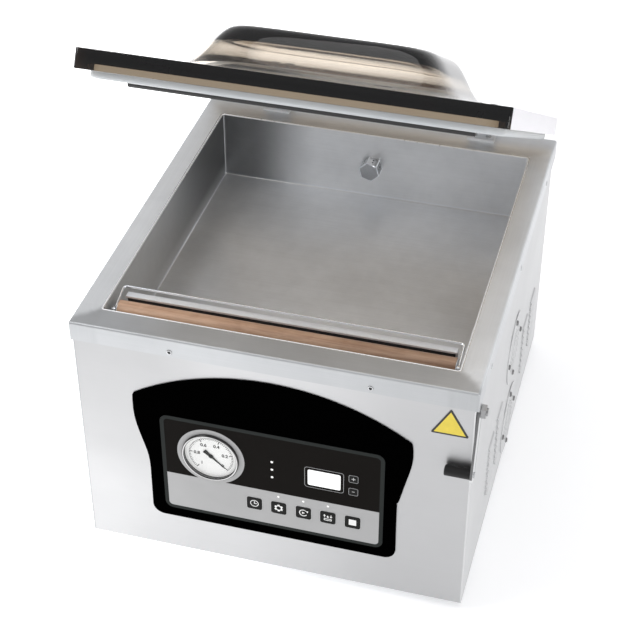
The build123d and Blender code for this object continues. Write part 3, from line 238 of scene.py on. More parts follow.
def deck_material():
    """Deck plate: the grinding runs along each side of the opening, with swirled blends at the four corners."""
    m = Mat("deck_brushed_steel", Metallic=1.0)
    x, y, z = m.xyz()
    ax = m.math("ABSOLUTE", x)
    cy = (CH_Y0 + CH_Y1) / 2
    ay = m.math("ABSOLUTE", m.math("SUBTRACT", y, cy))
    hx, hy = CH_X + 0.004, (CH_Y1 - CH_Y0) / 2 + 0.004
    dx = m.math("SUBTRACT", ax, hx)
    dy = m.math("SUBTRACT", ay, hy)
    gx = m.noise((9, 800, 800), 6.0, 0.72)
    gy = m.noise((800, 9, 800), 6.0, 0.72, offset=(4, 1, 2))
    wob = m.span(m.noise((60, 60, 60), 3.0, 0.5), 0.3, 0.7, -0.004, 0.004)
    side = m.span(m.math("ADD", m.math("SUBTRACT", dx, dy), wob), -0.003, 0.003, kind="SMOOTHSTEP")
    nmix = m.node("ShaderNodeMix", data_type="FLOAT")
    fl = [i for i in nmix.inputs if i.type == "VALUE"]
    m.put(fl[0], side)
    m.put(fl[1], gx)
    m.put(fl[2], gy)
    g = [o for o in nmix.outputs if o.type == "VALUE"][0]
    # swirl in the corners: rings about the opening's corner
    cx = m.math("MAXIMUM", m.math("ADD", dx, 0.012), 0.0)
    cyy = m.math("MAXIMUM", m.math("ADD", dy, 0.012), 0.0)
    rad = m.math("SQRT", m.math("ADD", m.math("MULTIPLY", cx, cx), m.math("MULTIPLY", cyy, cyy)))
    ring = m.noise((900, 9, 9), 5.0, 0.7, src=m.vec(rad, m.math("MULTIPLY", m.math("ARCTAN2", cyy, m.math("ADD", cx, 0.0005)), 0.05), 0.0))
    inner = m.math("MINIMUM", cx, cyy)
    corner = m.span(inner, 0.0005, 0.007, kind="SMOOTHSTEP")
    nm2 = m.node("ShaderNodeMix", data_type="FLOAT")
    fl = [i for i in nm2.inputs if i.type == "VALUE"]
    m.put(fl[0], corner)
    m.put(fl[1], g)
    m.put(fl[2], ring)
    g = [o for o in nm2.outputs if o.type == "VALUE"][0]
    cloud = m.noise((6, 6, 6), 3.0, 0.5, offset=(1.3, 0.2, 0.6))
    blotch = m.noise((26, 26, 26), 4.0, 0.6, offset=(0.3, 4.2, 0.6), distort=0.6)
    f = m.math("ADD", m.span(g, 0.3, 0.7, 0.965, 1.035), m.math("ADD", m.span(cloud, 0.3, 0.7, -0.05, 0.05), m.span(blotch, 0.35, 0.7, -0.025, 0.025)))
    f = m.math("SUBTRACT", f, m.math("MULTIPLY", corner, 0.04))
    # painted light and shade: the cross-brushed side strips are coloured lighter so they read brighter, every strip is
    # darker towards the left, and the front strip is darker than the back strip
    soft = m.span(m.math("ADD", m.math("SUBTRACT", dx, dy), wob), -0.006, 0.012, kind="SMOOTHSTEP")
    side_strip_painted_light = m.span(x, -0.12, 0.12, 0.81, 0.93)
    front_back_painted_light = m.math("MULTIPLY", m.span(y, -0.19, 0.19, 0.555, 0.76), m.span(x, -0.20, 0.20, 0.93, 1.07))
    tone = m.math("ADD", m.math("MULTIPLY", soft, side_strip_painted_light), m.math("MULTIPLY", m.math("SUBTRACT", 1.0, soft), front_back_painted_light))
    # painted light and shade on the skirt faces: the right side skirt lightest, the front and rear skirts darker, the
    # left side skirt darkest
    skirt = m.span(z, DECK_TOP - 0.0008, DECK_TOP - 0.0022, kind="SMOOTHSTEP")
    skirt_painted_shade = m.math("MULTIPLY", m.span(ax, 0.2090, 0.2098, 0.495, 0.64), m.span(x, -0.2090, -0.2098, 1.0, 0.70))
    tone = m.math("ADD", m.math("MULTIPLY", m.math("SUBTRACT", 1.0, skirt), tone), m.math("MULTIPLY", skirt, skirt_painted_shade))
    f = m.math("MULTIPLY", f, tone)
    flat_metal = m.span(soft, 0.0, 1.0, 0.66, 0.44)
    m.set(Base_Color=m.mul((0.962, 0.984, 1.004), f), Metallic=m.math("MAXIMUM", flat_metal, skirt))
    m.set(Roughness=m.math("ADD", m.span(g, 0.3, 0.7, 0.29, 0.35), m.math("ADD", m.math("MULTIPLY", corner, 0.04), m.span(blotch, 0.3, 0.75, -0.02, 0.04))))
    m.set(Normal=m.bump(g, 0.05, 0.0004))
    return m


M["deck_plate"] = deck_material()
# painted light and shade: the cabinet's sheets are one steel, coloured lighter or darker by face, the right side
# lightest and the left side darkest
M["front_panel"] = steel("front_panel_steel", (0.506, 0.50, 0.492), 0.40, "X", 0.02, 0.03, 0.02, 0.05)
M["side_panel"] = steel("side_panel_steel", (0.652, 0.645, 0.632), 0.42, "Y", 0.02, 0.03, 0.02, 0.05)
M["left_panel"] = steel("left_panel_steel", (0.43, 0.43, 0.43), 0.42, "Y", 0.02, 0.03, 0.02, 0.05)
M["rear_panel"] = steel("rear_panel_steel", (0.47, 0.47, 0.47), 0.42, "X", 0.02, 0.03, 0.03, 0.05)
M["base_plate"] = steel("base_plate_galvanised", (0.56, 0.57, 0.58), 0.42, "X", 0.06, 0.05, 0.12, 0.10, 120, 40)


def chamber_material():
    """Pressed chamber: satin steel, brushed along X, cloudy from handling, with polished welds in its corners lightened
    as painted highlights, a painted highlight along its top edge, painted light on the back wall and painted shade on
    the left wall and the left end of the back wall.
    """
    m = Mat("chamber_satin_steel", Metallic=1.0)
    x, y, z = m.xyz()
    gx = m.noise((11, 750, 750), 6.0, 0.7)
    gy = m.noise((750, 11, 750), 6.0, 0.7, offset=(1, 3, 2))
    ax = m.math("ABSOLUTE", x)
    wall = m.span(m.math("SUBTRACT", ax, CH_X - 0.0005), -0.0002, 0.0002)
    n1 = m.node("ShaderNodeMix", data_type="FLOAT")
    fl = [i for i in n1.inputs if i.type == "VALUE"]
    m.put(fl[0], wall)
    m.put(fl[1], gx)
    m.put(fl[2], gy)
    g = [o for o in n1.outputs if o.type == "VALUE"][0]
    cloud = m.noise((9, 9, 9), 4.0, 0.55, offset=(2, 2, 7))
    spots = m.noise((70, 70, 70), 3.0, 0.6, offset=(8, 1, 3))
    # welds: near the vertical corners and the floor's edge, lightened as painted highlight lines; a painted highlight
    # also runs along the top edge of the walls
    ex = m.math("SUBTRACT", CH_X, ax)
    cy = (CH_Y0 + CH_Y1) / 2
    ey = m.math("SUBTRACT", (CH_Y1 - CH_Y0) / 2, m.math("ABSOLUTE", m.math("SUBTRACT", y, cy)))
    far = m.math("MAXIMUM", ex, ey)
    weld_highlight = m.span(far, 0.0045, 0.0015, 0.0, 1.0, "SMOOTHSTEP")
    top = m.span(z, DECK_TOP - 0.0016, DECK_TOP - 0.0006, kind="SMOOTHSTEP")
    f = m.math("ADD", m.span(g, 0.3, 0.7, 0.965, 1.035), m.math("ADD", m.span(cloud, 0.3, 0.7, -0.08, 0.08), m.span(spots, 0.35, 0.7, -0.02, 0.02)))
    f = m.math("ADD", f, m.math("ADD", m.math("MULTIPLY", weld_highlight, 0.10), m.math("MULTIPLY", top, 0.35)))
    # painted shade on the left wall and on the left end of the back wall, and painted light on the back wall
    left_wall_shade = m.math("MULTIPLY", m.span(x, -CH_X + 0.0007, -CH_X + 0.0003), m.span(y, -0.12, 0.12, 0.30, 1.0, "SMOOTHSTEP"))
    left_wall_shade = m.math("MULTIPLY", left_wall_shade, m.span(z, 0.222, 0.240, 0.6, 1.0, "SMOOTHSTEP"))
    back_wall_shade = m.math("MULTIPLY", m.span(y, CH_Y1 - 0.0007, CH_Y1 - 0.0003), m.span(x, -0.060, -0.150, kind="SMOOTHSTEP"))
    floor_part = m.span(z, 0.2222, 0.2200)
    painted_shade = m.math("SUBTRACT", 1.0, m.math("MULTIPLY", m.math("MAXIMUM", left_wall_shade, back_wall_shade), 0.74))
    back = m.math("MULTIPLY", m.span(y, CH_Y1 - 0.0007, CH_Y1 - 0.0003), 0.16)
    m.set(Base_Color=m.mul(m.mix(floor_part, (0.785, 0.796, 0.806), (0.772, 0.802, 0.842)), m.math("MULTIPLY", m.math("ADD", f, back), painted_shade)), Metallic=m.span(floor_part, 0.0, 1.0, 0.84, 0.68))
    m.set(Roughness=m.math("SUBTRACT", m.math("ADD", m.span(g, 0.3, 0.7, 0.30, 0.36), m.span(cloud, 0.3, 0.75, -0.02, 0.05)), m.math("MULTIPLY", top, 0.10)))
    m.set(Normal=m.bump(g, 0.05, 0.0004))
    return m


M["vacuum_chamber"] = chamber_material()
def rim_highlight_material():
    """Bend where the deck turns down into the chamber, smooth, coloured near white and only a little metallic so it
    reads as a bright line: a painted highlight.
    """
    m = Mat("rim_painted_highlight", Metallic=0.30)
    g = m.noise((160, 160, 160), 4.0, 0.6)
    m.set(Base_Color=m.mul((0.94, 0.95, 0.96), m.span(g, 0.3, 0.7, 0.96, 1.02)), Roughness=m.span(g, 0.3, 0.7, 0.26, 0.34))
    return m


M["rim"] = rim_highlight_material()
M["fastener"] = steel("fastener_steel", (0.62, 0.62, 0.61), 0.30, "Z", 0.06, 0.05, 0.10, 0.08, 900, 300)
M["stud_steel"] = steel("stud_nut_steel", (0.36, 0.355, 0.35), 0.32, "Z", 0.08, 0.05, 0.12, 0.1, 900, 300)
M["dark_fastener"] = steel("dark_fastener_steel", (0.24, 0.235, 0.23), 0.34, "Z", 0.08, 0.05, 0.12, 0.1, 900, 300)
# painted highlight: the hinge parts are coloured near white and made only a little metallic so they read bright
M["hinge_steel"] = steel("hinge_steel", (0.97, 0.97, 0.97), 0.40, "X", 0.03, 0.05, 0.05, 0.05)
M["hinge_steel"].b.inputs["Metallic"].default_value = 0.35


def lever_material():
    """Lever: bright brushed face, with painted shade on its cut edges and along its rear side."""
    m = Mat("lever_steel", Metallic=0.9)
    x, y, z = m.xyz()
    py, pz, gy, gz = -0.222, 0.271, -0.2404, 0.203
    ln = math.hypot(gy - py, gz - pz)
    ny, nz = -(gz - pz) / ln, (gy - py) / ln
    d = m.math("ADD", m.math("MULTIPLY", m.math("SUBTRACT", y, py), ny), m.math("MULTIPLY", m.math("SUBTRACT", z, pz), nz))
    g = m.noise((700, 700, 40), 5.0, 0.65)
    # painted shade along the cut edge and the rear side of the arm
    edge = m.math("MAXIMUM", m.span(d, -0.0080, -0.0083), m.span(d, 0.0050, 0.0064, kind="SMOOTHSTEP"))
    f = m.math("MULTIPLY", m.span(g, 0.3, 0.7, 0.97, 1.03), m.span(edge, 0.0, 1.0, 1.0, 0.22))
    m.set(Base_Color=m.mul((0.71, 0.715, 0.72), f), Roughness=m.span(g, 0.3, 0.7, 0.30, 0.38), Normal=m.bump(g, 0.04, 0.0003))
    return m


M["lever_steel"] = lever_material()
M["port_steel"] = steel("port_steel", (0.86, 0.86, 0.86), 0.18, "X", 0.03, 0.03, 0.04, 0.05, 1500, 200)


def dress(m, f):
    """Multiply a material's finished base colour by a tone."""
    m.set(Base_Color=m.mul(m.b.inputs["Base Color"].links[0].from_socket, f))


def port_tones(m):
    """Hexagon head: painted highlights on the corners and the rim of the end face, painted light and shade on the flats
    by the way they face, darker towards the foot, and an end face shading lighter upwards.
    """
    x, y, z = m.xyz()
    dz = m.math("SUBTRACT", z, PORT_Z)
    hs = []
    for deg in (14, 74, 134):
        a = math.radians(deg)
        hs.append(m.math("ADD", m.math("MULTIPLY", x, math.cos(a)), m.math("MULTIPLY", dz, math.sin(a))))
    ab = [m.math("ABSOLUTE", h) for h in hs]
    big = m.math("MAXIMUM", ab[0], m.math("MAXIMUM", ab[1], ab[2]))
    low = m.math("MINIMUM", ab[0], m.math("MINIMUM", ab[1], ab[2]))
    mid = m.math("SUBTRACT", m.math("SUBTRACT", m.math("ADD", ab[0], m.math("ADD", ab[1], ab[2])), big), low)
    # painted highlights on the corners and rim; painted light and shade on the flats and end face, darker towards the
    # foot
    corner = m.span(mid, 0.0098, 0.0105)
    face = m.span(y, CH_Y1 - 0.0140, CH_Y1 - 0.0144)
    rim = m.math("MULTIPLY", face, m.span(big, 0.0097, 0.0103))
    side = m.span(hs[0], 0.0050, 0.0106, 0.92, 0.26)
    foot = m.span(y, CH_Y1 - 0.0060, CH_Y1 - 0.0010, 1.0, 0.62)
    side = m.math("MULTIPLY", side, foot)
    body = m.math("ADD", m.math("MULTIPLY", face, m.span(dz, -0.010, 0.010, 0.50, 0.66)), m.math("MULTIPLY", m.math("SUBTRACT", 1.0, face), side))
    line = m.math("MAXIMUM", corner, rim)
    dress(m, m.math("ADD", m.math("MULTIPLY", line, 1.12), m.math("MULTIPLY", m.math("SUBTRACT", 1.0, line), body)))


port_tones(M["port_steel"])
M["aluminium"] = steel("extruded_aluminium", (0.97, 0.975, 0.985), 0.46, "X", 0.03, 0.05, 0.05, 0.05, 1200, 6)
M["aluminium"].b.inputs["Metallic"].default_value = 0.80


def front_painted_tones(m):
    """Painted light and shade on the front sheet's brushed finish: a little darker at the left, brighter over the
    panel.
    """
    x, y, z = m.xyz()
    over = m.math("MULTIPLY", m.span(x, -0.13, -0.02, kind="SMOOTHSTEP"), m.span(x, 0.15, 0.03, kind="SMOOTHSTEP"))
    left = m.math("MULTIPLY", m.span(x, -0.05, -0.14, kind="SMOOTHSTEP"), m.span(z, 0.07, 0.16, kind="SMOOTHSTEP"))
    dress(m, m.math("ADD", 1.0, m.math("SUBTRACT", m.math("MULTIPLY", over, 0.12), m.math("MULTIPLY", left, 0.09))))


front_painted_tones(M["front_panel"])
M["rod_chrome"] = steel("rod_satin_chrome", (0.86, 0.87, 0.88), 0.20, "X", 0.03, 0.03, 0.03, 0.06, 900, 60)


def bezel_material():
    m = Mat("bezel_polished_steel", Metallic=1.0)
    x, y, z = m.xyz()
    dx, dz = m.math("SUBTRACT", x, GAUGE[0]), m.math("SUBTRACT", z, GAUGE[1])
    r = m.math("SQRT", m.math("ADD", m.math("MULTIPLY", dx, dx), m.math("MULTIPLY", dz, dz)))
    g = m.noise((2600, 2600, 12), 4.0, 0.6, src=m.vec(r, y, m.math("ARCTAN2", dz, dx)))
    t = m.span(r, 0.0281, 0.0311)
    # painted reflections: dark and light rings across the bezel's width, set in its base colour
    painted_reflection_rings = m.ramp(t, [(0.0, (0.03, 0.03, 0.03)), (0.20, (0.05, 0.05, 0.05)), (0.34, (0.50, 0.50, 0.50)), (0.55, (0.62, 0.62, 0.62)), (0.66, (0.20, 0.195, 0.19)), (0.80, (0.05, 0.048, 0.046)), (0.97, (0.10, 0.10, 0.10))])
    m.set(Base_Color=m.mul(painted_reflection_rings, m.span(g, 0.3, 0.7, 0.93, 1.05)))
    m.set(Roughness=m.span(g, 0.3, 0.7, 0.12, 0.20), Normal=m.bump(g, 0.03, 0.0002))
    return m


M["bezel"] = bezel_material()


def ptfe_material():
    """PTFE-coated glass cloth over the seal bar: brown, woven, scorched and rubbed in streaks along its length."""
    m = Mat("ptfe_cloth")
    x, y, z = m.xyz()
    s1 = m.noise((5, 160, 160), 5.0, 0.62)
    s2 = m.noise((26, 420, 420), 4.0, 0.6, offset=(3, 3, 1))
    bl = m.noise((30, 60, 60), 4.0, 0.6, offset=(1, 7, 2), distort=0.8)
    f = m.math("ADD", m.math("MULTIPLY", s1, 0.55), m.math("ADD", m.math("MULTIPLY", s2, 0.2), m.math("MULTIPLY", bl, 0.25)))
    col = m.ramp(f, [(0.30, (0.20, 0.105, 0.060)), (0.44, (0.34, 0.20, 0.125)), (0.56, (0.47, 0.30, 0.20)), (0.72, (0.60, 0.42, 0.30))])
    # painted shade: the cover is darker lower down the sides of the bar
    low = m.span(z, 0.272, 0.288, 0.45, 1.0, "SMOOTHSTEP")
    warp = m.node("ShaderNodeTexWave", wave_type="BANDS", bands_direction="X")
    m.put(warp.inputs["Vector"], m.scaled((1, 1, 1)))
    warp.inputs["Scale"].default_value = 420.0
    weft = m.node("ShaderNodeTexWave", wave_type="BANDS", bands_direction="Y")
    m.put(weft.inputs["Vector"], m.scaled((1, 1, 1)))
    weft.inputs["Scale"].default_value = 420.0
    w = m.math("MULTIPLY", warp.outputs["Fac"], weft.outputs["Fac"])
    lit = m.span(x, -0.16, 0.12, 1.44, 1.0)
    worn = m.mix(m.span(x, -0.10, 0.16), (1.0, 1.0, 1.0), (0.97, 0.86, 0.72))
    m.set(Base_Color=m.mul(m.mul(m.mul(m.mul(col, low), m.span(w, 0.0, 1.0, 0.96, 1.04)), lit), worn))
    m.set(Roughness=m.span(f, 0.3, 0.7, 0.30, 0.46), Normal=m.bump(w, 0.10, 0.0003, m.bump(bl, 0.25, 0.0015)))
    m.b.inputs["Specular IOR Level"].default_value = 0.45
    m.b.inputs["Coat Weight"].default_value = 0.15
    m.b.inputs["Coat Roughness"].default_value = 0.3
    return m


M["ptfe"] = ptfe_material()


def acrylic(name, rough=0.02, spec=0.5, density=46.0, shade_tint=1.0):
    """Bronze-smoked clear acrylic: light is taken up along its way through the sheet."""
    m = Mat(name, Roughness=rough)
    m.b.inputs["IOR"].default_value = 1.49
    m.b.inputs["Specular IOR Level"].default_value = spec
    m.b.inputs["Transmission Weight"].default_value = 1.0
    g = m.noise((22, 22, 22), 3.0, 0.5)
    sc = m.noise((500, 40, 500), 4.0, 0.6, offset=(2, 1, 4))
    x, y, z = m.xyz()
    w = m.math("ADD", m.math("MULTIPLY", m.math("SUBTRACT", y, HINGE_Y), LS), m.math("MULTIPLY", m.math("SUBTRACT", z, HINGE_Z), LC))
    w = m.math("ADD", w, m.span(g, 0.3, 0.7, -0.0012, 0.0012))
    # colour by height above the lid's underside: darker over the dome's lower flanks, lighter at the slab and the top;
    # the slab's colour is scaled by the last argument, which darkens the lid's front face as painted shade
    tint_by_height = m.ramp(m.span(w, 0.0, 0.080), [(0.245, (shade_tint, 0.985 * shade_tint, 0.965 * shade_tint)), (0.275, (0.76, 0.735, 0.695)), (0.34, (0.58, 0.552, 0.512)), (0.43, (0.60, 0.57, 0.53)), (0.50, (0.76, 0.73, 0.69)), (0.66, (0.79, 0.76, 0.72)), (0.74, (0.72, 0.70, 0.67))])
    m.set(Base_Color=m.mul(tint_by_height, m.span(g, 0.3, 0.7, 0.985, 1.0)))
    m.set(Roughness=m.math("ADD", m.span(g, 0.35, 0.7, rough, rough + 0.015), m.span(sc, 0.62, 0.8, 0.0, 0.05)))
    m.set(Normal=m.bump(g, 0.05, 0.0008))
    v = m.node("ShaderNodeVolumeAbsorption")
    v.inputs["Color"].default_value = (0.42, 0.25, 0.0, 1.0)
    v.inputs["Density"].default_value = density
    m.t.links.new(v.outputs[0], m.out.inputs["Volume"])
    return m


M["acrylic"] = acrylic("smoked_acrylic")
# the lid's front face: a darker, denser, weakly reflecting copy of the smoked acrylic, as painted shade
M["acrylic_front"] = acrylic("smoked_acrylic_front_painted_shade", 0.02, 0.03, 78.0, 0.40)


def frosted_edge():
    """The slab's sawn side faces: a fine matt surface that scatters the light and looks pale."""
    m = Mat("acrylic_sawn_edge")
    x, y, z = m.xyz()
    a = m.noise((60, 300, 900), 4.0, 0.6)
    c = m.noise((20, 20, 20), 3.0, 0.5)
    m.set(Base_Color=m.mul((0.90, 0.885, 0.925), m.math("ADD", m.span(a, 0.3, 0.7, 0.985, 1.012), m.span(c, 0.3, 0.7, -0.015, 0.015))))
    m.set(Roughness=m.span(a, 0.3, 0.7, 0.28, 0.36), Normal=m.bump(a, 0.04, 0.0002))
    m.b.inputs["Subsurface Weight"].default_value = 0.3
    m.b.inputs["Subsurface Radius"].default_value = (0.006, 0.005, 0.006)
    return m


M["edge"] = frosted_edge()


def silicone_material():
    m = Mat("pale_silicone")
    c = m.noise((14, 14, 14), 3.0, 0.5)
    g = m.noise((1500, 1500, 1500), 2.0, 0.5)
    col = m.mix(m.span(c, 0.3, 0.7), (0.50, 0.525, 0.545), (0.57, 0.59, 0.60))
    # height above the underside of the lid, for the part seated in the groove
    x, y, z = m.xyz()
    w = m.math("ADD", m.math("MULTIPLY", m.math("SUBTRACT", y, HINGE_Y), LS), m.math("MULTIPLY", m.math("SUBTRACT", z, HINGE_Z), LC))
    # painted light: the seated part glows with a warm emission, standing in for the light that reaches it through the
    # lid
    seated = m.span(w, -0.0001, 0.0003)
    m.set(Base_Color=m.mix(seated, col, (0.62, 0.59, 0.55)))
    m.set(Emission_Color=m.mix(seated, (0.0, 0.0, 0.0), (0.78, 0.742, 0.685)))
    m.b.inputs["Emission Strength"].default_value = 1.0
    m.set(Roughness=m.math("ADD", m.span(c, 0.3, 0.7, 0.34, 0.42), m.span(g, 0.3, 0.7, -0.02, 0.02)), Normal=m.bump(g, 0.03, 0.0002))
    m.b.inputs["Subsurface Weight"].default_value = 0.35
    m.b.inputs["Subsurface Radius"].default_value = (0.006, 0.006, 0.006)
    return m


M["silicone"] = silicone_material()
M["black_rubber"] = plastic("black_rubber", (0.022, 0.022, 0.023), 0.62, 0.18, 900.0, 0.12)
M["white_plastic"] = plastic("white_plastic", (0.74, 0.745, 0.75), 0.40, 0.05, 1500.0, 0.03)
M["gloss_black"] = plastic("gloss_black_overlay", (0.0004, 0.0004, 0.0004), 0.22, 0.02, 2500.0, 0.10, spec=0.0)
M["black_plastic"] = plastic("black_moulded_plastic", (0.020, 0.020, 0.021), 0.42, 0.14, 1600.0, 0.10)
M["grip_plastic"] = plastic("grip_plastic", (0.012, 0.012, 0.012), 0.42, 0.20, 1000.0, 0.10, spec=0.25)
gm_ = M["grip_plastic"]
rivet = gm_.span(gm_.xyz()[0], 0.2096, 0.2099)
gm_.set(Base_Color=gm_.mix(rivet, (0.012, 0.012, 0.012), (0.55, 0.56, 0.57)), Metallic=rivet)
M["print_white"] = plastic("white_print", (0.82, 0.82, 0.81), 0.45, 0.02, 2500.0, 0.02)
M["key_margin"] = plastic("key_margin_light", (0.66, 0.66, 0.66), 0.45, 0.02, 2500.0, 0.02, spec=0.1)
M["print_grey"] = plastic("grey_print", (0.36, 0.365, 0.37), 0.45, 0.02, 2500.0, 0.03)
M["print_pale"] = plastic("pale_print", (0.52, 0.52, 0.52), 0.45, 0.02, 2500.0, 0.02)
M["dial_black"] = plastic("dial_black_print", (0.006, 0.006, 0.006), 0.5, 0.02, 2500.0, 0.03, spec=0.05)
M["key_black"] = plastic("key_black", (0.010, 0.010, 0.0095), 0.36, 0.04, 2200.0, 0.05, spec=0.10)
M["rocker_black"] = plastic("rocker_black", (0.02, 0.02, 0.02), 0.22, 0.03, 2200.0, 0.05)
M["circuit"] = plastic("circuit_board_green", (0.02, 0.12, 0.045), 0.35, 0.15, 700.0, 0.25)
M["motor_paint"] = plastic("motor_paint", (0.06, 0.07, 0.085), 0.45, 0.30, 500.0, 0.10)
M["pump_casting"] = steel("pump_casting", (0.50, 0.51, 0.52), 0.50, "X", 0.05, 0.30, 0.10, 0.10, 500, 400)
M["core"] = steel("laminated_core", (0.22, 0.20, 0.19), 0.50, "X", 0.30, 0.30, 0.10, 0.10, 1200, 4)
M["brass"] = steel("turned_brass", (0.66, 0.50, 0.24), 0.28, "X", 0.06, 0.08, 0.06, 0.08, 900, 60)
M["wire"] = steel("heating_band", (0.62, 0.58, 0.53), 0.30, "X", 0.10, 0.05, 0.10, 0.1)


def insert_material():
    """Printed overlay: dark upper field, light lower field, light disc round the gauge, grey border."""
    m = Mat("printed_overlay")
    x, y, z = m.xyz()
    cx, cz, w, h, r = 0.0005, 0.136, 0.239, 0.131, 0.009
    b = 0.0043
    qx = m.math("SUBTRACT", m.math("ABSOLUTE", m.math("SUBTRACT", x, cx)), w / 2 - r)
    qz = m.math("SUBTRACT", m.math("ABSOLUTE", m.math("SUBTRACT", z, cz)), h / 2 - r)
    px, pz = m.math("MAXIMUM", qx, 0.0), m.math("MAXIMUM", qz, 0.0)
    d = m.math("ADD", m.math("SQRT", m.math("ADD", m.math("MULTIPLY", px, px), m.math("MULTIPLY", pz, pz))), m.math("MINIMUM", m.math("MAXIMUM", qx, qz), 0.0))
    border = m.span(d, r - b - 0.0001, r - b + 0.0001)
    gx, gz = m.math("SUBTRACT", x, GAUGE[0]), m.math("SUBTRACT", z, GAUGE[1])
    rg = m.math("SQRT", m.math("ADD", m.math("MULTIPLY", gx, gx), m.math("MULTIPLY", gz, gz)))
    disc = m.span(rg, 0.0367, 0.0365)
    low = m.span(z, 0.1221, 0.1219)
    light = m.math("MAXIMUM", disc, low)
    g = m.noise((2200, 2200, 2200), 3.0, 0.6)
    c = m.noise((25, 25, 25), 3.0, 0.5)
    col = m.mix(light, (0.0098, 0.0088, 0.0080), (0.415, 0.415, 0.415))
    col = m.mix(border, col, (0.028, 0.031, 0.030))
    m.set(Base_Color=m.mul(col, m.math("ADD", m.span(g, 0.3, 0.7, 0.985, 1.015), m.span(c, 0.3, 0.7, -0.03, 0.03))))
    m.set(Roughness=m.math("ADD", m.span(c, 0.3, 0.7, 0.40, 0.48), m.span(g, 0.3, 0.7, -0.02, 0.02)), Normal=m.bump(g, 0.05, 0.0001))
    m.b.inputs["Specular IOR Level"].default_value = 0.01
    return m


M["insert"] = insert_material()


def display_material():
    m = Mat("display_white")
    x, y, z = m.xyz()
    v = m.node("ShaderNodeTexVoronoi")
    m.put(v.inputs["Vector"], m.scaled((1600, 1, 1600)))
    v.inputs["Scale"].default_value = 1.0
    c = m.noise((40, 40, 40), 3.0, 0.5)
    m.set(Base_Color=m.mul((0.90, 0.905, 0.905), m.math("ADD", m.span(v.outputs["Distance"], 0.0, 0.8, 0.985, 1.0), m.span(c, 0.3, 0.7, -0.01, 0.01))))
    m.set(Roughness=m.span(c, 0.3, 0.7, 0.14, 0.22))
    m.b.inputs["Emission Color"].default_value = (1.0, 1.0, 1.0, 1.0)
    m.b.inputs["Emission Strength"].default_value = 0.28
    return m


M["display"] = display_material()


def lens_material():
    m = Mat("indicator_lens")
    c = m.noise((900, 900, 900), 2.0, 0.5)
    m.set(Base_Color=m.mul((0.92, 0.92, 0.90), m.span(c, 0.3, 0.7, 0.96, 1.0)), Roughness=m.span(c, 0.3, 0.7, 0.15, 0.25))
    m.b.inputs["Emission Color"].default_value = (1.0, 0.99, 0.97, 1.0)
    m.b.inputs["Emission Strength"].default_value = 0.25
    return m


M["lens"] = lens_material()


def dial_material():
    m = Mat("dial_card")
    g = m.noise((1500, 1500, 1500), 3.0, 0.6)
    c = m.noise((50, 50, 50), 3.0, 0.5)
    m.set(Base_Color=m.mul((0.80, 0.80, 0.785), m.math("ADD", m.span(g, 0.3, 0.7, 0.985, 1.01), m.span(c, 0.3, 0.7, -0.015, 0.015))))
    m.set(Roughness=m.span(c, 0.3, 0.7, 0.42, 0.5), Normal=m.bump(g, 0.03, 0.0001))
    return m


M["dial"] = dial_material()


def glass_material():
    """Thin flat pane: nearly clear, with a faint gloss."""
    m = Mat("gauge_glass")
    c = m.noise((60, 60, 60), 3.0, 0.5)
    m.set(Base_Color=m.mul((0.92, 0.94, 0.94), m.span(c, 0.3, 0.7, 0.97, 1.0)), Roughness=m.span(c, 0.4, 0.8, 0.02, 0.06), Alpha=m.span(c, 0.3, 0.7, 0.015, 0.03))
    m.b.inputs["Specular IOR Level"].default_value = 0.15
    return m


M["glass"] = glass_material()


def hazard_material():
    """Plain yellow triangle with a dark border, slightly worn."""
    m = Mat("hazard_yellow")
    x, y, z = m.xyz()
    cx = 0.1828
    z0, z1, hw = 0.2438, 0.2772, 0.0193
    slope = (z1 - z0) / hw
    k = 1.0 / math.sqrt(1 + slope * slope)
    dl = m.math("MULTIPLY", m.math("SUBTRACT", m.math("SUBTRACT", z1, m.math("MULTIPLY", m.math("ABSOLUTE", m.math("SUBTRACT", x, cx)), slope)), z), k)
    db = m.math("SUBTRACT", z, z0)
    d = m.math("MINIMUM", dl, db)
    rim = m.span(d, 0.00205, 0.00185)
    g = m.noise((900, 900, 900), 4.0, 0.6)
    c = m.noise((120, 120, 120), 4.0, 0.6)
    col = m.mix(rim, (0.72, 0.57, 0.060), (0.020, 0.020, 0.018))
    m.set(Base_Color=m.mul(col, m.math("ADD", m.span(g, 0.3, 0.7, 0.97, 1.03), m.span(c, 0.3, 0.7, -0.05, 0.05))))
    m.set(Roughness=m.span(c, 0.3, 0.7, 0.32, 0.45), Normal=m.bump(g, 0.05, 0.0001))
    return m


M["hazard"] = hazard_material()


# --------------------------------------------------------------- mesh helpers
def link(o):
    bpy.context.scene.collection.objects.link(o)
    return o


def finish_mesh(bm, name, mats, smooth=35.0, matrix=None, bevel=0.0, seg=2):
    if matrix is not None:
        bm.transform(matrix)
    bmesh.ops.recalc_face_normals(bm, faces=bm.faces[:])
    me = bpy.data.meshes.new(name)
    bm.to_mesh(me)
    bm.free()
    o = link(bpy.data.objects.new(name, me))
    for mt in mats if isinstance(mats, (list, tuple)) else [mats]:
        me.materials.append(mt.m)
    if bevel:
        b = o.modifiers.new("bevel", "BEVEL")
        b.width = bevel
        b.segments = seg
        b.limit_method = "ANGLE"
        b.angle_limit = math.radians(30)
        apply_mods(o)
        me = o.data
    shade(me, smooth)
    return o


def shade(me, angle):
    for p in me.polygons:
        p.use_smooth = True
    me.set_sharp_from_angle(angle=math.radians(angle))


def apply_mods(o):
    dg = bpy.context.evaluated_depsgraph_get()
    me = bpy.data.meshes.new_from_object(o.evaluated_get(dg))
    mats = [m for m in o.data.materials]
    o.modifiers.clear()
    o.data = me
    me.materials.clear()
    for m in mats:
        me.materials.append(m)


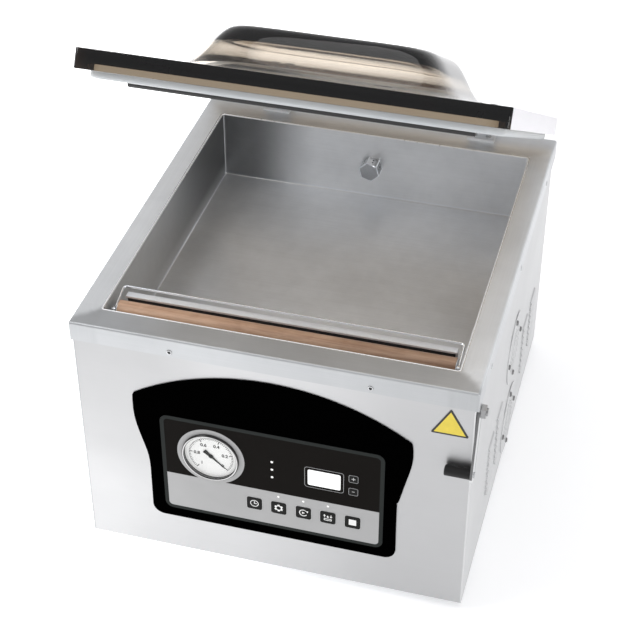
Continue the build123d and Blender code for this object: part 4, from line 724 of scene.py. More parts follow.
def rr(hx, hy, r, n=8, cx=0.0, cy=0.0):
    """Rounded rectangle, anticlockwise, the same number of points at any size."""
    pts = []
    for sx, sy, a0 in ((1, 1, 0), (-1, 1, 90), (-1, -1, 180), (1, -1, 270)):
        for i in range(n + 1):
            a = math.radians(a0 + 90.0 * i / n)
            pts.append((cx + sx * (hx - r) + r * math.cos(a), cy + sy * (hy - r) + r * math.sin(a)))
    return pts


def circle(cx, cy, r, n=48, a0=0.0, a1=360.0):
    full = abs(a1 - a0) >= 359.9
    k = n if full else n + 1
    return [(cx + r * math.cos(math.radians(a0 + (a1 - a0) * i / n)), cy + r * math.sin(math.radians(a0 + (a1 - a0) * i / n))) for i in range(k)]


FRONT = lambda y: Matrix(((1, 0, 0, 0), (0, 0, -1, y), (0, 1, 0, 0), (0, 0, 0, 1)))


def sheet2d(name, loops, depth, mat, matrix, bevel=0.0, smooth=35.0):
    """Flat plate from outlines (loops inside loops are holes), from local z 0 to depth."""
    cu = bpy.data.curves.new(name + "_c", "CURVE")
    cu.dimensions = "2D"
    cu.fill_mode = "BOTH"
    cu.extrude = depth / 2 - bevel
    cu.bevel_depth = bevel
    cu.bevel_resolution = 1
    cu.offset = -bevel
    for pts in loops:
        s = cu.splines.new("POLY")
        s.points.add(len(pts) - 1)
        for p, (x, y) in zip(s.points, pts):
            p.co = (x, y, 0, 1)
        s.use_cyclic_u = True
    tmp = link(bpy.data.objects.new(name + "_t", cu))
    dg = bpy.context.evaluated_depsgraph_get()
    me = bpy.data.meshes.new_from_object(tmp.evaluated_get(dg))
    bpy.data.objects.remove(tmp)
    me.name = name
    me.transform(Matrix.Translation((0, 0, depth / 2)))
    me.transform(matrix)
    bm = bmesh.new()
    bm.from_mesh(me)
    bmesh.ops.remove_doubles(bm, verts=bm.verts[:], dist=1e-7)
    bmesh.ops.recalc_face_normals(bm, faces=bm.faces[:])
    bm.to_mesh(me)
    bm.free()
    o = link(bpy.data.objects.new(name, me))
    me.materials.clear()
    me.materials.append(mat.m)
    shade(me, smooth)
    return o


def text_mesh(name, body, size, mat, matrix, depth=0.00005, bold=0.00012):
    cu = bpy.data.curves.new(name + "_c", "FONT")
    cu.body = body
    cu.size = size
    cu.offset = bold
    cu.align_x = "CENTER"
    cu.align_y = "CENTER"
    cu.extrude = depth
    tmp = link(bpy.data.objects.new(name + "_t", cu))
    dg = bpy.context.evaluated_depsgraph_get()
    me = bpy.data.meshes.new_from_object(tmp.evaluated_get(dg))
    bpy.data.objects.remove(tmp)
    me.transform(matrix)
    me.materials.clear()
    me.materials.append(mat.m)
    o = link(bpy.data.objects.new(name, me))
    return o


def join(name, objs):
    """Joins meshes into one new object; each keeps its own first material."""
    bm = bmesh.new()
    mats = []
    for o in objs:
        base = len(bm.faces)
        bm.from_mesh(o.data)
        bm.faces.ensure_lookup_table()
        mt = o.data.materials[0]
        if mt not in mats:
            mats.append(mt)
        for f in bm.faces[base:]:
            f.material_index = mats.index(mt)
    me = bpy.data.meshes.new(name)
    bm.to_mesh(me)
    bm.free()
    for o in objs:
        bpy.data.objects.remove(o)
    out = link(bpy.data.objects.new(name, me))
    for mt in mats:
        me.materials.append(mt)
    return out


def ring_faces(bm, a, b):
    n = len(a)
    for i in range(n):
        bm.faces.new((a[i], a[(i + 1) % n], b[(i + 1) % n], b[i]))


def loop_verts(bm, pts, z):
    return [bm.verts.new((x, y, z)) for x, y in pts]


def fill_between(bm, loops, mat_index=0):
    edges = []
    for vs in loops:
        for i in range(len(vs)):
            a, b = vs[i], vs[(i + 1) % len(vs)]
            e = bm.edges.get((a, b)) or bm.edges.new((a, b))
            edges.append(e)
    res = bmesh.ops.triangle_fill(bm, use_beauty=True, use_dissolve=False, edges=edges)
    for g in res["geom"]:
        if isinstance(g, bmesh.types.BMFace):
            g.material_index = mat_index


def lathe(bm, profile, center, axis_matrix, n=96, closed=False):
    """profile of (radius, height); axis is local z of axis_matrix."""
    rings = []
    for r, h in profile:
        if r < 1e-7:
            rings.append([bm.verts.new(axis_matrix @ Vector((0, 0, h)))])
        else:
            rings.append([bm.verts.new(axis_matrix @ Vector((r * math.cos(2 * math.pi * i / n), r * math.sin(2 * math.pi * i / n), h))) for i in range(n)])
    seq = list(zip(rings, rings[1:]))
    if closed:
        seq.append((rings[-1], rings[0]))
    for a, b in seq:
        if len(a) == 1 and len(b) == 1:
            continue
        if len(a) == 1:
            for i in range(n):
                bm.faces.new((a[0], b[i], b[(i + 1) % n]))
        elif len(b) == 1:
            for i in range(n):
                bm.faces.new((a[i], b[0], a[(i + 1) % n]))
        else:
            ring_faces(bm, a, b)


def axes(origin, normal, up=(0, 0, 1)):
    """Matrix whose local z is normal."""
    z = Vector(normal).normalized()
    u = Vector(up)
    if abs(z.dot(u)) > 0.95:
        u = Vector((0, 1, 0))
    x = u.cross(z).normalized()
    y = z.cross(x)
    return Matrix(((x.x, y.x, z.x, origin[0]), (x.y, y.y, z.y, origin[1]), (x.z, y.z, z.z, origin[2]), (0, 0, 0, 1)))


def place(o, node, slot=None, *more):
    """o stands for the CAD node (and any more) and rides on its body."""
    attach(o, BODY[node])
    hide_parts(node, *more)
    return o


def add(o, body):
    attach(o, body)
    return o


def remake(node, mat, slot, bevel=0.0004, seg=2, dissolve=True, name=None):
    """Own mesh from the CAD node, with rounded edges."""
    bm = bmesh.new()
    bm.from_mesh(N[node].data)
    bmesh.ops.remove_doubles(bm, verts=bm.verts[:], dist=2e-6)
    if dissolve:
        bmesh.ops.dissolve_limit(bm, angle_limit=math.radians(1.0), verts=bm.verts[:], edges=bm.edges[:])
    o = finish_mesh(bm, name or node + "_finished", mat, bevel=bevel, seg=seg)
    return place(o, node, slot)


# --------------------------------------------------------- lid: smoked acrylic
def superellipse(rho, n=160, p=5.8):
    pts = []
    for i in range(n):
        a = 2 * math.pi * i / n
        c, s = math.cos(a), math.sin(a)
        k = (abs(c) ** p + abs(s) ** p) ** (-1.0 / p)
        pts.append((rho * DOME_HX * k * c, DOME_Y + rho * DOME_HY * k * s))
    return pts


def smooth01(t):
    t = min(1.0, max(0.0, t))
    return t * t * (3 - 2 * t)


def spline(pts, k):
    """Catmull-Rom curve through the points, k steps to each span."""
    out = []
    for i in range(len(pts) - 1):
        p0, p1, p2, p3 = pts[max(i - 1, 0)], pts[i], pts[i + 1], pts[min(i + 2, len(pts) - 1)]
        for j in range(k):
            t = j / k
            out.append(tuple(0.5 * (2 * b + (c - a) * t + (2 * a - 5 * b + 4 * c - d) * t * t + (3 * b - a - 3 * c + d) * t ** 3) for a, b, c, d in zip(p0, p1, p2, p3)))
    out.append(pts[-1])
    return out


def make_lid():
    bm = bmesh.new()
    cy = (LID_FRONT + LID_REAR) / 2
    hx, hy = LID_HX, (LID_REAR - LID_FRONT) / 2
    e = 0.0009
    prof = [(-e, 0.0), (-e * 0.3, e * 0.3), (0.0, e), (0.0, LID_T - e), (-e * 0.3, LID_T - e * 0.3), (-e, LID_T)]
    rings = []
    for d, w in prof:
        rings.append(loop_verts(bm, rr(hx + d, hy + d, 0.004 + d, 8, 0, cy), w))
    for k, (a, b) in enumerate(zip(rings, rings[1:])):
        n = len(a)
        for i in range(n):
            f = bm.faces.new((a[i], a[(i + 1) % n], b[(i + 1) % n], b[i]))
            mid = (a[i].co.x + a[(i + 1) % n].co.x) / 2
            f.material_index = 1 if abs(mid) > hx - 0.0008 else (2 if (a[i].co.y + a[(i + 1) % n].co.y) / 2 < LID_FRONT + 0.002 else 0)
    # dome outside
    outer = []
    prof_out = [(1.0, 0.0), (0.966, 0.0010), (0.932, 0.0034), (0.902, 0.0070), (0.875, 0.0115), (0.848, 0.0172), (0.822, 0.0235), (0.793, 0.0303), (0.760, 0.0368), (0.720, 0.0422), (0.675, 0.0452), (0.625, 0.0460)]
    for rho, h in spline(prof_out, 4):
        outer.append(loop_verts(bm, superellipse(rho), LID_T + min(h, DOME_H)))
    for a, b in zip(outer, outer[1:]):
        ring_faces(bm, a, b)
    fill_between(bm, [rings[-1], outer[0]])
    fill_between(bm, [outer[-1]])
    # dome inside, with a rounded mouth
    inner = []
    prof_in = [(1.002, 0.0), (0.990, 0.0016), (0.978, 0.0050), (0.961, 0.0100), (0.938, 0.0148), (0.910, 0.0200), (0.882, 0.0252), (0.856, 0.0308), (0.829, 0.0368), (0.802, 0.0430), (0.774, 0.0482), (0.742, 0.0514), (0.704, 0.0527), (0.65, 0.0530)]
    for rho, w in spline(prof_in, 4):
        inner.append(loop_verts(bm, superellipse(rho), w))
    for a, b in zip(inner, inner[1:]):
        ring_faces(bm, a, b)
    fill_between(bm, [inner[-1]])
    # gasket groove
    gy, gh = (GY0 + GY1) / 2, (GY1 - GY0) / 2
    go = rr(GX + 0.00515, gh + 0.00515, 0.0200, 12, 0, gy)
    gi = rr(GX - 0.00515, gh - 0.00515, 0.0100, 12, 0, gy)
    o0, o1 = loop_verts(bm, go, 0.0), loop_verts(bm, go, 0.0068)
    i0, i1 = loop_verts(bm, gi, 0.0), loop_verts(bm, gi, 0.0068)
    ring_faces(bm, o0, o1)
    ring_faces(bm, i0, i1)
    fill_between(bm, [o1, i1])
    fill_between(bm, [rings[0], o0])
    fill_between(bm, [i0, inner[0]])
    o = finish_mesh(bm, "lid_shell_smoked", [M["acrylic"], M["edge"], M["acrylic_front"]], smooth=28.0, matrix=LID)
    return place(o, "lid_shell", "smoked_acrylic")


make_lid()


def make_gasket():
    """Silicone ring: seated in its groove, with a soft rounded sealing bead below the slab."""
    gy, gh = (GY0 + GY1) / 2, (GY1 - GY0) / 2
    prof = [(-0.0049, 0.0066), (0.0049, 0.0066), (0.0050, 0.0060), (0.0050, 0.0000), (0.0052, -0.0012), (0.0051, -0.0038), (0.0044, -0.0056), (0.0030, -0.0066),
            (0.0012, -0.0070), (-0.0012, -0.0070), (-0.0030, -0.0066), (-0.0044, -0.0056), (-0.0051, -0.0038), (-0.0052, -0.0012), (-0.0050, 0.0000), (-0.0050, 0.0060)]
    bm = bmesh.new()
    loops = []
    for d, w in prof:
        loops.append(loop_verts(bm, rr(GX + d, gh + d, 0.0149 + d, 12, 0, gy), w))
    for a, b in zip(loops, loops[1:] + loops[:1]):
        ring_faces(bm, a, b)
    o = finish_mesh(bm, "lid_gasket_silicone", M["silicone"], smooth=40.0, matrix=LID)
    return place(o, "lid_gasket", "pale_silicone")


make_gasket()



def make_strip():
    """Silicone counter strip: a foot in the holder's channel and a D-shaped bead that meets the seal bar."""
    y0 = -0.181 - HINGE_Y
    prof = [(-0.0039, -0.0015), (0.0039, -0.0015), (0.0039, -0.0049), (0.0048, -0.0052), (0.0049, -0.0070), (0.0045, -0.0086), (0.0034, -0.0099), (0.0018, -0.0107),
            (0.0, -0.0109), (-0.0018, -0.0107), (-0.0034, -0.0099), (-0.0045, -0.0086), (-0.0049, -0.0070), (-0.0048, -0.0052), (-0.0039, -0.0049)]
    bm = bmesh.new()
    ends = []
    for x in (-0.1700, -0.1697, 0.1697, 0.1700):
        k = 0.96 if abs(x) > 0.1698 else 1.0
        ends.append([bm.verts.new((x, y0 + u * k, -0.005 + (w + 0.005) * k)) for u, w in prof])
    for a, b in zip(ends, ends[1:]):
        ring_faces(bm, a, b)
    bm.faces.new(ends[0])
    bm.faces.new(ends[-1][::-1])
    place(finish_mesh(bm, "pressure_strip_bead", M["black_rubber"], smooth=40, matrix=LID), "pressure_strip", "black_rubber")


make_strip()

# ------------------------------------------------------------ vacuum gauge
GM = FRONT(0.0) @ Matrix.Translation((GAUGE[0], GAUGE[1], 0))


def gauge():
    gm = Matrix.Translation((GAUGE[0], 0, GAUGE[1])) @ Matrix(((1, 0, 0, 0), (0, 0, -1, 0), (0, 1, 0, 0), (0, 0, 0, 1)))
    bm = bmesh.new()
    prof = [(0.0288, 0.23605), (0.0304, 0.23605), (0.0309, 0.2364), (0.0310, 0.2370), (0.0310, 0.2380), (0.03095, 0.2385), (0.0307, 0.2390), (0.0303, 0.23935),
            (0.0298, 0.23955), (0.0294, 0.23955), (0.0290, 0.23935), (0.0286, 0.23905), (0.0284, 0.2388), (0.0284, 0.2386), (0.0286, 0.2385), (0.0288, 0.2385)]
    lathe(bm, prof, None, gm, 128, closed=True)
    place(finish_mesh(bm, "gauge_bezel_turned", M["bezel"], smooth=32), "gauge_bezel", "chrome")
    bm = bmesh.new()
    lathe(bm, [(0.0, 0.23845), (0.016, 0.23845), (0.0283, 0.23835), (0.0285, 0.2382), (0.0285, 0.2368), (0.0283, 0.2366), (0.0, 0.2366)], None, gm, 96)
    place(finish_mesh(bm, "gauge_glass_lens", M["glass"], smooth=32), "gauge_glass", "clear_glass")
    # card with its inner rim
    bm = bmesh.new()
    lathe(bm, [(0.0011, 0.2320), (0.0011, 0.2350), (0.0278, 0.2350), (0.0281, 0.2351), (0.0283, 0.2354), (0.02845, 0.2354), (0.02845, 0.2320)], None, gm, 128, closed=True)
    dial = finish_mesh(bm, "gauge_dial_card", M["dial"], smooth=32)
    place(dial, "gauge_dial", "dial_white")
    marks = []
    for i in range(51):
        a = math.radians(-42.0 + 270.0 * i / 50)
        major, mid = i % 10 == 0, i % 5 == 0
        r1 = 0.0240
        r0 = 0.0202 if major else (0.0214 if mid else 0.0221)
        wd = 0.00050 if major else 0.00030
        c, s = math.cos(a), math.sin(a)
        marks.append([(r0 * c - wd * s, r0 * s + wd * c), (r0 * c + wd * s, r0 * s - wd * c), (r1 * c + wd * s, r1 * s - wd * c), (r1 * c - wd * s, r1 * s + wd * c)])
    T = FRONT(-0.2350) @ Matrix.Translation((GAUGE[0], GAUGE[1], 0))
    parts = [sheet2d("tick_marks", marks, 0.00006, M["dial_black"], T)]
    # thin scale arc between the ticks
    arc_o = circle(0, 0, 0.02415, 90, -42, 228)
    arc_i = circle(0, 0, 0.02390, 90, -42, 228)
    parts.append(sheet2d("scale_arc", [arc_o + arc_i[::-1]], 0.00006, M["dial_black"], T))
    for k, label in enumerate(("0", "0.2", "0.4", "0.6", "0.8", "1")):
        a = math.radians(-42.0 + 54.0 * k)
        rad = 0.0155 if k else 0.0165
        parts.append(text_mesh("number_%d" % k, label, 0.0056, M["dial_black"], T @ Matrix.Translation((rad * math.cos(a), rad * math.sin(a), 0.00003)), 0.00005, 0.00017))
    add(join("gauge_scale_print", parts), "cabinet")
    # pointer
    a = math.radians(-42.0)
    u, v = (math.cos(a), math.sin(a)), (-math.sin(a), math.cos(a))
    shape = [(-0.0095, 0.0021), (-0.0088, 0.0025), (-0.0042, 0.0019), (-0.0008, 0.0017), (0.004, 0.00105), (0.0205, 0.00030), (0.0205, -0.00030), (0.004, -0.00105), (-0.0008, -0.0017), (-0.0042, -0.0019), (-0.0088, -0.0025), (-0.0095, -0.0021)]
    pts = [(s * u[0] + t * v[0], s * u[1] + t * v[1]) for s, t in shape][::-1]
    blade = sheet2d("pointer_blade", [pts], 0.0004, M["dial_black"], FRONT(-0.2354) @ Matrix.Translation((GAUGE[0], GAUGE[1], 0)))
    bm = bmesh.new()
    lathe(bm, [(0.0, 0.2365), (0.0012, 0.2364), (0.0017, 0.2362), (0.0024, 0.2360), (0.0026, 0.2357), (0.0026, 0.2353), (0.0010, 0.2353), (0.0010, 0.2282), (0.0, 0.2282)], None, gm, 40)
    hub = finish_mesh(bm, "pointer_hub", M["dial_black"], smooth=32)
    place(join("gauge_needle_pointer", [blade, hub]), "gauge_needle", "pointer_black")


gauge()


# --------------------------------------------------------- control panel print
def rect_ring(cx, cz, w, h, r, t):
    return [rr(w / 2, h / 2, r, 6, cx, cz), rr(w / 2 - t, h / 2 - t, max(r - t, 0.0002), 6, cx, cz)]


def icon_loops(kind):
    """Simple generic pictures, each a list of groups of loops, in a 10 mm square about the origin."""
    u = MM
    if kind == "clock":
        return [[circle(0, 0, 4.3 * u, 40), circle(0, 0, 3.55 * u, 40)],
                [[(-0.4 * u, -0.4 * u), (2.5 * u, -0.4 * u), (2.5 * u, 0.4 * u), (0.4 * u, 0.4 * u), (0.4 * u, 2.9 * u), (-0.4 * u, 2.9 * u)]]]
    if kind == "gear":
        outer = []
        for k in range(6):
            for da, r in ((-18, 3.5), (-13, 4.6), (13, 4.6), (18, 3.5)):
                a = math.radians(60 * k + 30 + da)
                outer.append((r * u * math.cos(a), r * u * math.sin(a)))
        return [[outer, circle(0, 0, 2.3 * u, 30)]]
    if kind == "cycle":
        ring = circle(0, 0, 4.3 * u, 36, 35, 325) + circle(0, 0, 3.4 * u, 36, 35, 325)[::-1]
        head = [(4.9 * u, 2.9 * u), (1.9 * u, 3.6 * u), (4.3 * u, 0.5 * u)]
        dot = [(-1.3 * u, 1.5 * u), (1.6 * u, 0.0), (-1.3 * u, -1.5 * u)]
        return [[ring], [head], [dot]]
    if kind == "arrows":
        up = [(-3.6 * u, -0.2 * u), (-2.9 * u, -0.2 * u), (-2.9 * u, 2.0 * u), (-1.9 * u, 2.0 * u), (-3.25 * u, 4.0 * u), (-4.6 * u, 2.0 * u), (-3.6 * u, 2.0 * u)]
        down = [(2.9 * u, 3.8 * u), (3.6 * u, 3.8 * u), (3.6 * u, 1.8 * u), (4.6 * u, 1.8 * u), (3.25 * u, -0.2 * u), (1.9 * u, 1.8 * u), (2.9 * u, 1.8 * u)]
        drop = [(0.0, 2.9 * u), (1.0 * u, 1.2 * u), (0.9 * u, 0.4 * u), (0.35 * u, 0.0), (-0.35 * u, 0.0), (-0.9 * u, 0.4 * u), (-1.0 * u, 1.2 * u)]
        tray = rr(3.9 * u, 1.3 * u, 0.5 * u, 4, 0, -2.7 * u)
        hole = rr(3.1 * u, 0.6 * u, 0.2 * u, 4, 0, -2.7 * u)
        return [[up], [down], [drop], [tray, hole]]
    if kind == "stop":
        return [[rr(3.7 * u, 3.7 * u, 0.3 * u, 4)]]
    if kind == "plus":
        a, b = 2.5 * u, 0.5 * u
        return [[[(-a, -b), (-b, -b), (-b, -a), (b, -a), (b, -b), (a, -b), (a, b), (b, b), (b, a), (-b, a), (-b, b), (-a, b)]]]
    if kind == "minus":
        a, b = 1.7 * u, 0.45 * u
        return [[[(-a, -b), (a, -b), (a, b), (-a, b)]]]
    return []


def make_key(node, x, z, size, kind, border_mat, k=1.0):
    """Key cap with a rounded edge, a printed border and a plain picture."""
    h = size / 2 + 0.00028
    big = size > 0.012
    bm = bmesh.new()
    y0, y1 = BODY_HY - 0.0006, BODY_HY + 0.0025
    prof = [(0.0, y0), (0.0, y1 - 0.0005), (-0.00015, y1 - 0.00015), (-0.0005, y1)]
    fm = Matrix(((1, 0, 0, 0), (0, 0, -1, 0), (0, 1, 0, 0), (0, 0, 0, 1)))
    loops = [loop_verts(bm, rr(h + d, h + d, 0.0021 + d, 6, x, z), w) for d, w in prof]
    for a, b in zip(loops, loops[1:]):
        ring_faces(bm, a, b)
    fill_between(bm, [loops[0]])
    fill_between(bm, [loops[-1]])
    stem = [loop_verts(bm, circle(x, z, 0.0028 if size > 0.012 else 0.0022, 24), w) for w in (y0, y0 - 0.0035)]
    ring_faces(bm, stem[0], stem[1])
    fill_between(bm, [stem[0]])
    fill_between(bm, [stem[1]])
    cap = finish_mesh(bm, node + "_body", M["key_black"], smooth=35, matrix=fm)
    parts = [cap]
    top = FRONT(-y1) @ Matrix.Translation((x, z, 0))
    if big:
        parts.append(sheet2d(node + "_field", [rr(h + 0.0006, h + 0.0006, 0.0023, 6)], 0.00006, M["key_black"], top))
        top = top @ Matrix.Translation((0, 0, 0.00006))
    else:
        parts.append(sheet2d(node + "_rim", rect_ring(0, 0, size - 0.0002, size - 0.0002, 0.0019, 0.0004), 0.00006, border_mat, top))
    for i, loops in enumerate(icon_loops(kind)):
        loops = [[(px * k, pz * k) for px, pz in lp] for lp in loops]
        parts.append(sheet2d("%s_mark_%d" % (node, i), loops, 0.00006, M["print_white"] if big else M["print_pale"], top))
    if big:
        add(sheet2d(node + "_outline", [rr(h + 0.00125, h + 0.00125, 0.0030, 6, x, z), rr(h + 0.00085, h + 0.00085, 0.0026, 6, x, z)], 0.00006, M["key_margin"], FRONT(-BODY_HY - 0.002)), "cabinet")
    o = join(node + "_cap", parts)
    return place(o, node, "black_key")


for (node, x), kind in zip(KEYS.items(), ("clock", "gear", "cycle", "arrows", "stop")):
    make_key(node, x, KEY_Z, KEY_S, kind, M["print_grey"], 1.08)
for (node, (x, z)), kind in zip(STEPS.items(), ("plus", "minus")):
    make_key(node, x, z, STEP_S, kind, M["print_grey"], 0.8)

FACE = -BODY_HY - 0.002
outline = sheet2d("display_outline", rect_ring(DISP[0], DISP[1], DISP[2] + 0.0068, DISP[3] + 0.0066, 0.0032, 0.00045), 0.00006, M["print_grey"], FRONT(FACE))
add(outline, "cabinet")

bm = bmesh.new()
prof = [(0.0, 0.2341), (0.0, 0.2359), (-0.0001, 0.23612), (-0.0004, 0.2362)]
loops = [loop_verts(bm, rr(DISP[2] / 2 - 0.00005 + d, DISP[3] / 2 - 0.00005 + d, 0.0020 + d, 6, DISP[0], DISP[1]), w) for d, w in prof]
for a, b in zip(loops, loops[1:]):
    ring_faces(bm, a, b)
fill_between(bm, [loops[0]])
fill_between(bm, [loops[-1]])
place(finish_mesh(bm, "display_window_lens", M["display"], smooth=35, matrix=Matrix(((1, 0, 0, 0), (0, 0, -1, 0), (0, 1, 0, 0), (0, 0, 0, 1)))), "display_window", "display")

bm = bmesh.new()
for x, z, r in LEDS:
    lathe(bm, [(0.0, 0.2365), (r * 0.5, 0.23642), (r * 0.85, 0.23615), (r * 0.97, 0.2359), (r * 0.97, 0.2300), (0.0, 0.2300)], None,
          Matrix.Translation((x, 0, z)) @ Matrix(((1, 0, 0, 0), (0, 0, -1, 0), (0, 1, 0, 0), (0, 0, 0, 1))), 24)
place(finish_mesh(bm, "indicator_leds_lens", M["lens"], smooth=50), "indicator_leds", "white_lens")


def rim_roll():
    """Rounded bend round the chamber's mouth."""
    cy, hy = (CH_Y0 + CH_Y1) / 2, (CH_Y1 - CH_Y0) / 2
    k = 10
    rings = []
    bm = bmesh.new()
    for j in range(k):
        a = 2 * math.pi * j / k
        d, w = 0.0010 * math.cos(a), 0.0010 * math.sin(a)
        rings.append(loop_verts(bm, rr(CH_X + 0.0006 + d, hy + 0.0006 + d, RIM_R + d, 10, 0.0, cy), DECK_TOP - 0.00072 + w))
    for a, b in zip(rings, rings[1:] + rings[:1]):
        ring_faces(bm, a, b)
    add(finish_mesh(bm, "chamber_rim_roll", M["rim"], smooth=60), "cabinet")


RIM_R = 0.0030
rim_roll()


# ---------------------------------------------------------------------- screws
def screw_head(bm, at, normal, r, h, shank_r=0.0015, shank=0.006, spin=0.0):
    """Pan head with a cross recess."""
    m = axes(at, normal) @ Matrix.Rotation(spin, 4, "Z")
    n = 48
    arm, wid, dep = r * 0.62, r * 0.17, h * 0.75

    def in_cross(x, y):
        x, y = abs(x), abs(y)
        return (x < arm and y < wid) or (y < arm and x < wid)

    radii = [0.0, 0.08, 0.14, 0.2, 0.28, 0.36, 0.44, 0.52, 0.60, 0.68, 0.78, 0.88, 0.95, 1.0]
    rings = []
    for q in radii:
        if q == 0:
            rings.append([bm.verts.new(m @ Vector((0, 0, h - dep)))])
            continue
        ring = []
        for i in range(n):
            a = 2 * math.pi * i / n
            x, y = q * r * math.cos(a), q * r * math.sin(a)
            z = h * math.sqrt(max(0.0, 1 - 0.80 * q ** 4)) if q < 1 else h * 0.35
            if in_cross(x, y):
                z -= dep * (1 - 0.55 * q / 0.62)
            ring.append(bm.verts.new(m @ Vector((x, y, z))))
        rings.append(ring)
    ring = [bm.verts.new(m @ Vector((r * math.cos(2 * math.pi * i / n), r * math.sin(2 * math.pi * i / n), 0.0))) for i in range(n)]
    rings.append(ring)
    ring = [bm.verts.new(m @ Vector((shank_r * math.cos(2 * math.pi * i / n), shank_r * math.sin(2 * math.pi * i / n), 0.0))) for i in range(n)]
    rings.append(ring)
    ring = [bm.verts.new(m @ Vector((shank_r * math.cos(2 * math.pi * i / n), shank_r * math.sin(2 * math.pi * i / n), -shank))) for i in range(n)]
    rings.append(ring)
    for a, b in zip(rings, rings[1:]):
        if len(a) == 1:
            for i in range(n):
                bm.faces.new((a[0], b[i], b[(i + 1) % n]))
        else:
            ring_faces(bm, a, b)
    bm.faces.new(rings[-1][::-1])


bm = bmesh.new()
spin = 0.3
for x in (-0.103, 0.103):
    for y, ny in ((-0.236, -1), (0.236, 1)):
        spin += 0.7
        screw_head(bm, (x, y, 0.287), (0, ny, 0), 0.0030, 0.0009, spin=spin)
for y in (-0.172, -0.003, 0.166):
    for x, nx in ((0.210, 1), (-0.210, -1)):
        spin += 0.9
        screw_head(bm, (x, y, 0.287), (nx, 0, 0), 0.0030, 0.0009, spin=spin)
for sx in (-1, 1):
    for dx in (-0.008, 0.008):
        spin += 0.5
        screw_head(bm, (sx * HINGE_X + dx, 0.217, DECK_TOP + 0.003), (0, 0, 1), 0.0034, 0.0012, 0.002, 0.0118, spin)


def deck_screw_material():
    """Bright heads; the two on the front skirt have painted shade in the recess and a painted dark ring where they sit
    in the sheet.
    """
    m = steel("deck_screw_steel", (0.66, 0.66, 0.65), 0.30, "Z", 0.06, 0.05, 0.10, 0.08, 900, 300)
    x, y, z = m.xyz()
    rx = m.math("SUBTRACT", m.math("ABSOLUTE", x), 0.103)
    rz = m.math("SUBTRACT", z, 0.287)
    r = m.math("SQRT", m.math("ADD", m.math("MULTIPLY", rx, rx), m.math("MULTIPLY", rz, rz)))
    skirt = m.span(y, -0.2300, -0.2310)
    # painted shade in the recess and in a ring where the heads sit in the front skirt
    socket = m.math("MULTIPLY", skirt, m.span(r, 0.00185, 0.00160))
    seat_shade = m.math("MULTIPLY", skirt, m.span(r, 0.00245, 0.00275))
    dress(m, m.math("SUBTRACT", 1.0, m.math("ADD", m.math("MULTIPLY", socket, 0.90), m.math("MULTIPLY", seat_shade, 0.55))))
    return m


place(finish_mesh(bm, "deck_screw_heads", deck_screw_material(), smooth=30), "deck_screws", "fastener_steel")

bm = bmesh.new()
for z in (0.158, 0.054):
    for k in range(4):
        a = math.radians(90 * k)
        spin += 0.6
        screw_head(bm, (0.2082, 0.022 + 0.0354 * math.cos(a), z + 0.0354 * math.sin(a)), (1, 0, 0), 0.0030, 0.0019, 0.0015, 0.0118, spin)
place(finish_mesh(bm, "panel_screw_heads", M["dark_fastener"], smooth=30), "panel_screws", "fastener_steel")
bm = bmesh.new()
for x in (-0.190, 0.190):
    for z in (0.030, 0.145, 0.260):
        spin += 0.8
        screw_head(bm, (x, 0.234, z), (0, 1, 0), 0.0030, 0.0019, 0.0015, 0.006, spin)
add(finish_mesh(bm, "rear_panel_screw_heads", M["fastener"], smooth=30), "cabinet")


# ----------------------------------------------- CAD nodes carried over, with their materials
CARRY = {
    "base_plate": "base_plate", "rubber_feet": "black_rubber", "front_panel": "front_panel", "left_side_panel": "left_panel", "right_side_panel": "side_panel",
    "rear_panel": "rear_panel", "deck_plate": "deck_plate", "vacuum_chamber": "vacuum_chamber", "vacuum_port": "port_steel", "seal_cylinders": "aluminium",
    "fan_guards": "side_panel", "clamp_rail": "aluminium", "clamp_rail_rubber": "black_rubber", "panel_surround": "gloss_black", "panel_insert": "insert", "gauge_case": "black_plastic",
    "warning_plate": "hazard", "control_board": "circuit", "seal_transformer": "core", "vacuum_pump": "pump_casting", "pump_motor": "motor_paint",
    "pump_mounts": "black_rubber", "valve_block": "brass", "vacuum_hoses": "black_rubber", "fan_frames": "black_plastic", "fan_rotor_upper": "black_plastic",
    "fan_rotor_lower": "black_plastic", "hinge_brackets": "hinge_steel", "hinge_pins": "fastener", "power_inlet": "black_plastic", "power_rocker": "rocker_black",
    "lever_stud": "stud_steel", "lever_arm": "lever_steel", "lever_grip": "grip_plastic", "strip_holder": "white_plastic",
    "hinge_arms": "hinge_steel", "hinge_arm_bolts": "fastener", "seal_bar_base": "aluminium", "sealing_wire": "wire", "seal_bar_cover": "ptfe",
    "seal_bar_rods": "fastener", "bag_clamp_rod": "rod_chrome",
}
for node, mat in CARRY.items():
    me = N[node].data
    me.materials.clear()
    me.materials.append(M[mat].m)

# ------------------------------------------------------------ floor and lights
floor_m = Mat("floor_pale", Roughness=0.9)
fn = floor_m.noise((3, 3, 3), 3.0, 0.5)
floor_m.set(Base_Color=floor_m.mul((0.90, 0.90, 0.905), floor_m.span(fn, 0.3, 0.7, 0.99, 1.0)))
floor_m.b.inputs["Specular IOR Level"].default_value = 0.1
fx, fy, fz = floor_m.xyz()
# painted light: the floor glows, more at the left and in a patch near the front-left of the machine, lighting the
# machine and its reflections
glow = floor_m.span(fx, -0.12, 0.22, 0.52, 0.34, "SMOOTHSTEP")
near = floor_m.math("MULTIPLY", floor_m.span(fx, 0.05, -0.30, kind="SMOOTHSTEP"), floor_m.span(fy, -0.60, -0.32, kind="SMOOTHSTEP"))
floor_m.set(Emission_Color=floor_m.mul((1.0, 1.0, 1.0), floor_m.math("ADD", glow, floor_m.math("MULTIPLY", near, 0.68))))
floor_m.b.inputs["Emission Strength"].default_value = 1.05
bm = bmesh.new()
bmesh.ops.create_grid(bm, x_segments=8, y_segments=8, size=6.0)
floor = finish_mesh(bm, "floor", floor_m)

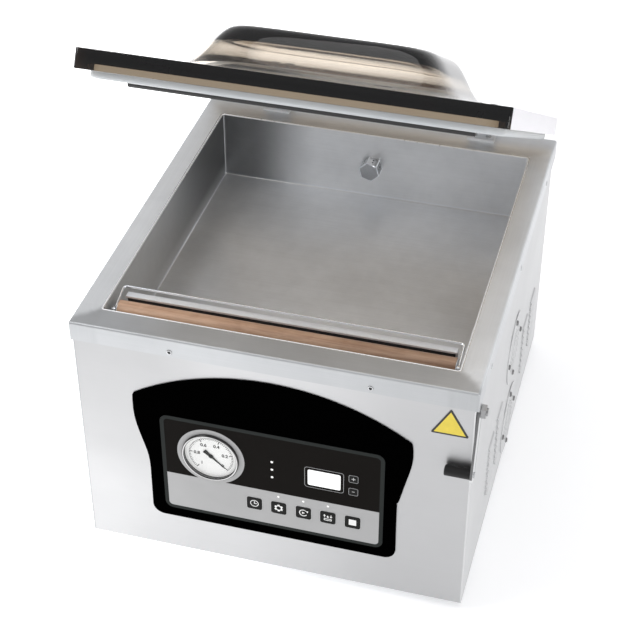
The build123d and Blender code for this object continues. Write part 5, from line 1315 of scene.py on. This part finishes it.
world = bpy.data.worlds.new("studio")
bpy.context.scene.world = world
world.use_nodes = True
wt = world.node_tree
bg = next(n for n in wt.nodes if n.type == "BACKGROUND")
tc = wt.nodes.new("ShaderNodeTexCoord")
sep = wt.nodes.new("ShaderNodeSeparateXYZ")
wt.links.new(tc.outputs["Generated"], sep.inputs[0])
ramp = wt.nodes.new("ShaderNodeValToRGB")
wt.links.new(sep.outputs[2], ramp.inputs[0])
el = ramp.color_ramp.elements
el[0].position, el[0].color = 0.0, (0.95, 0.95, 0.96, 1)
el[1].position, el[1].color = 1.0, (0.75, 0.76, 0.78, 1)
for p, c in ((0.25, (0.70, 0.70, 0.71, 1)), (0.55, (0.56, 0.56, 0.575, 1)), (0.80, (0.62, 0.62, 0.635, 1))):
    e = ramp.color_ramp.elements.new(p)
    e.color = c
wt.links.new(ramp.outputs[0], bg.inputs[0])
bg.inputs[1].default_value = 0.85


def area(name, loc, target, size, power, color=(1, 1, 1), size_y=None):
    li = bpy.data.lights.new(name, "AREA")
    li.shape = "RECTANGLE"
    li.size, li.size_y = size, size_y or size
    li.energy = power
    li.color = color
    o = link(bpy.data.objects.new(name, li))
    o.location = loc
    o.rotation_euler = (Vector(target) - Vector(loc)).to_track_quat("-Z", "Y").to_euler()
    return o


area("key_left", (-1.6, -0.6, 2.0), (0, 0, 0.25), 1.4, 22)
area("fill_front", (1.5, -2.1, 1.2), (0, 0, 0.2), 1.4, 14)
area("top_soft", (0.2, 0.6, 2.4), (0, 0, 0.2), 1.8, 12)

# ---------------------------------------------------------------------- camera
cam_data = bpy.data.cameras.new("camera")
cam_data.sensor_width = 36.0
cam_data.sensor_fit = "HORIZONTAL"
cam_data.lens = 93.48
cam_data.clip_start = 0.05
cam_data.clip_end = 50.0
cam = link(bpy.data.objects.new("camera", cam_data))
cam.location = (0.3718, -1.4094, 1.3162)
cam.rotation_euler = (math.radians(52.01), 0.0, math.radians(15.46))
bpy.context.scene.camera = cam

sc = bpy.context.scene
sc.view_settings.view_transform = "Standard"
sc.view_settings.look = "None"
sc.cycles.use_denoising = True
sc.cycles.max_bounces = 14
sc.cycles.transmission_bounces = 12
sc.cycles.glossy_bounces = 6
sc.cycles.sample_clamp_indirect = 6.0

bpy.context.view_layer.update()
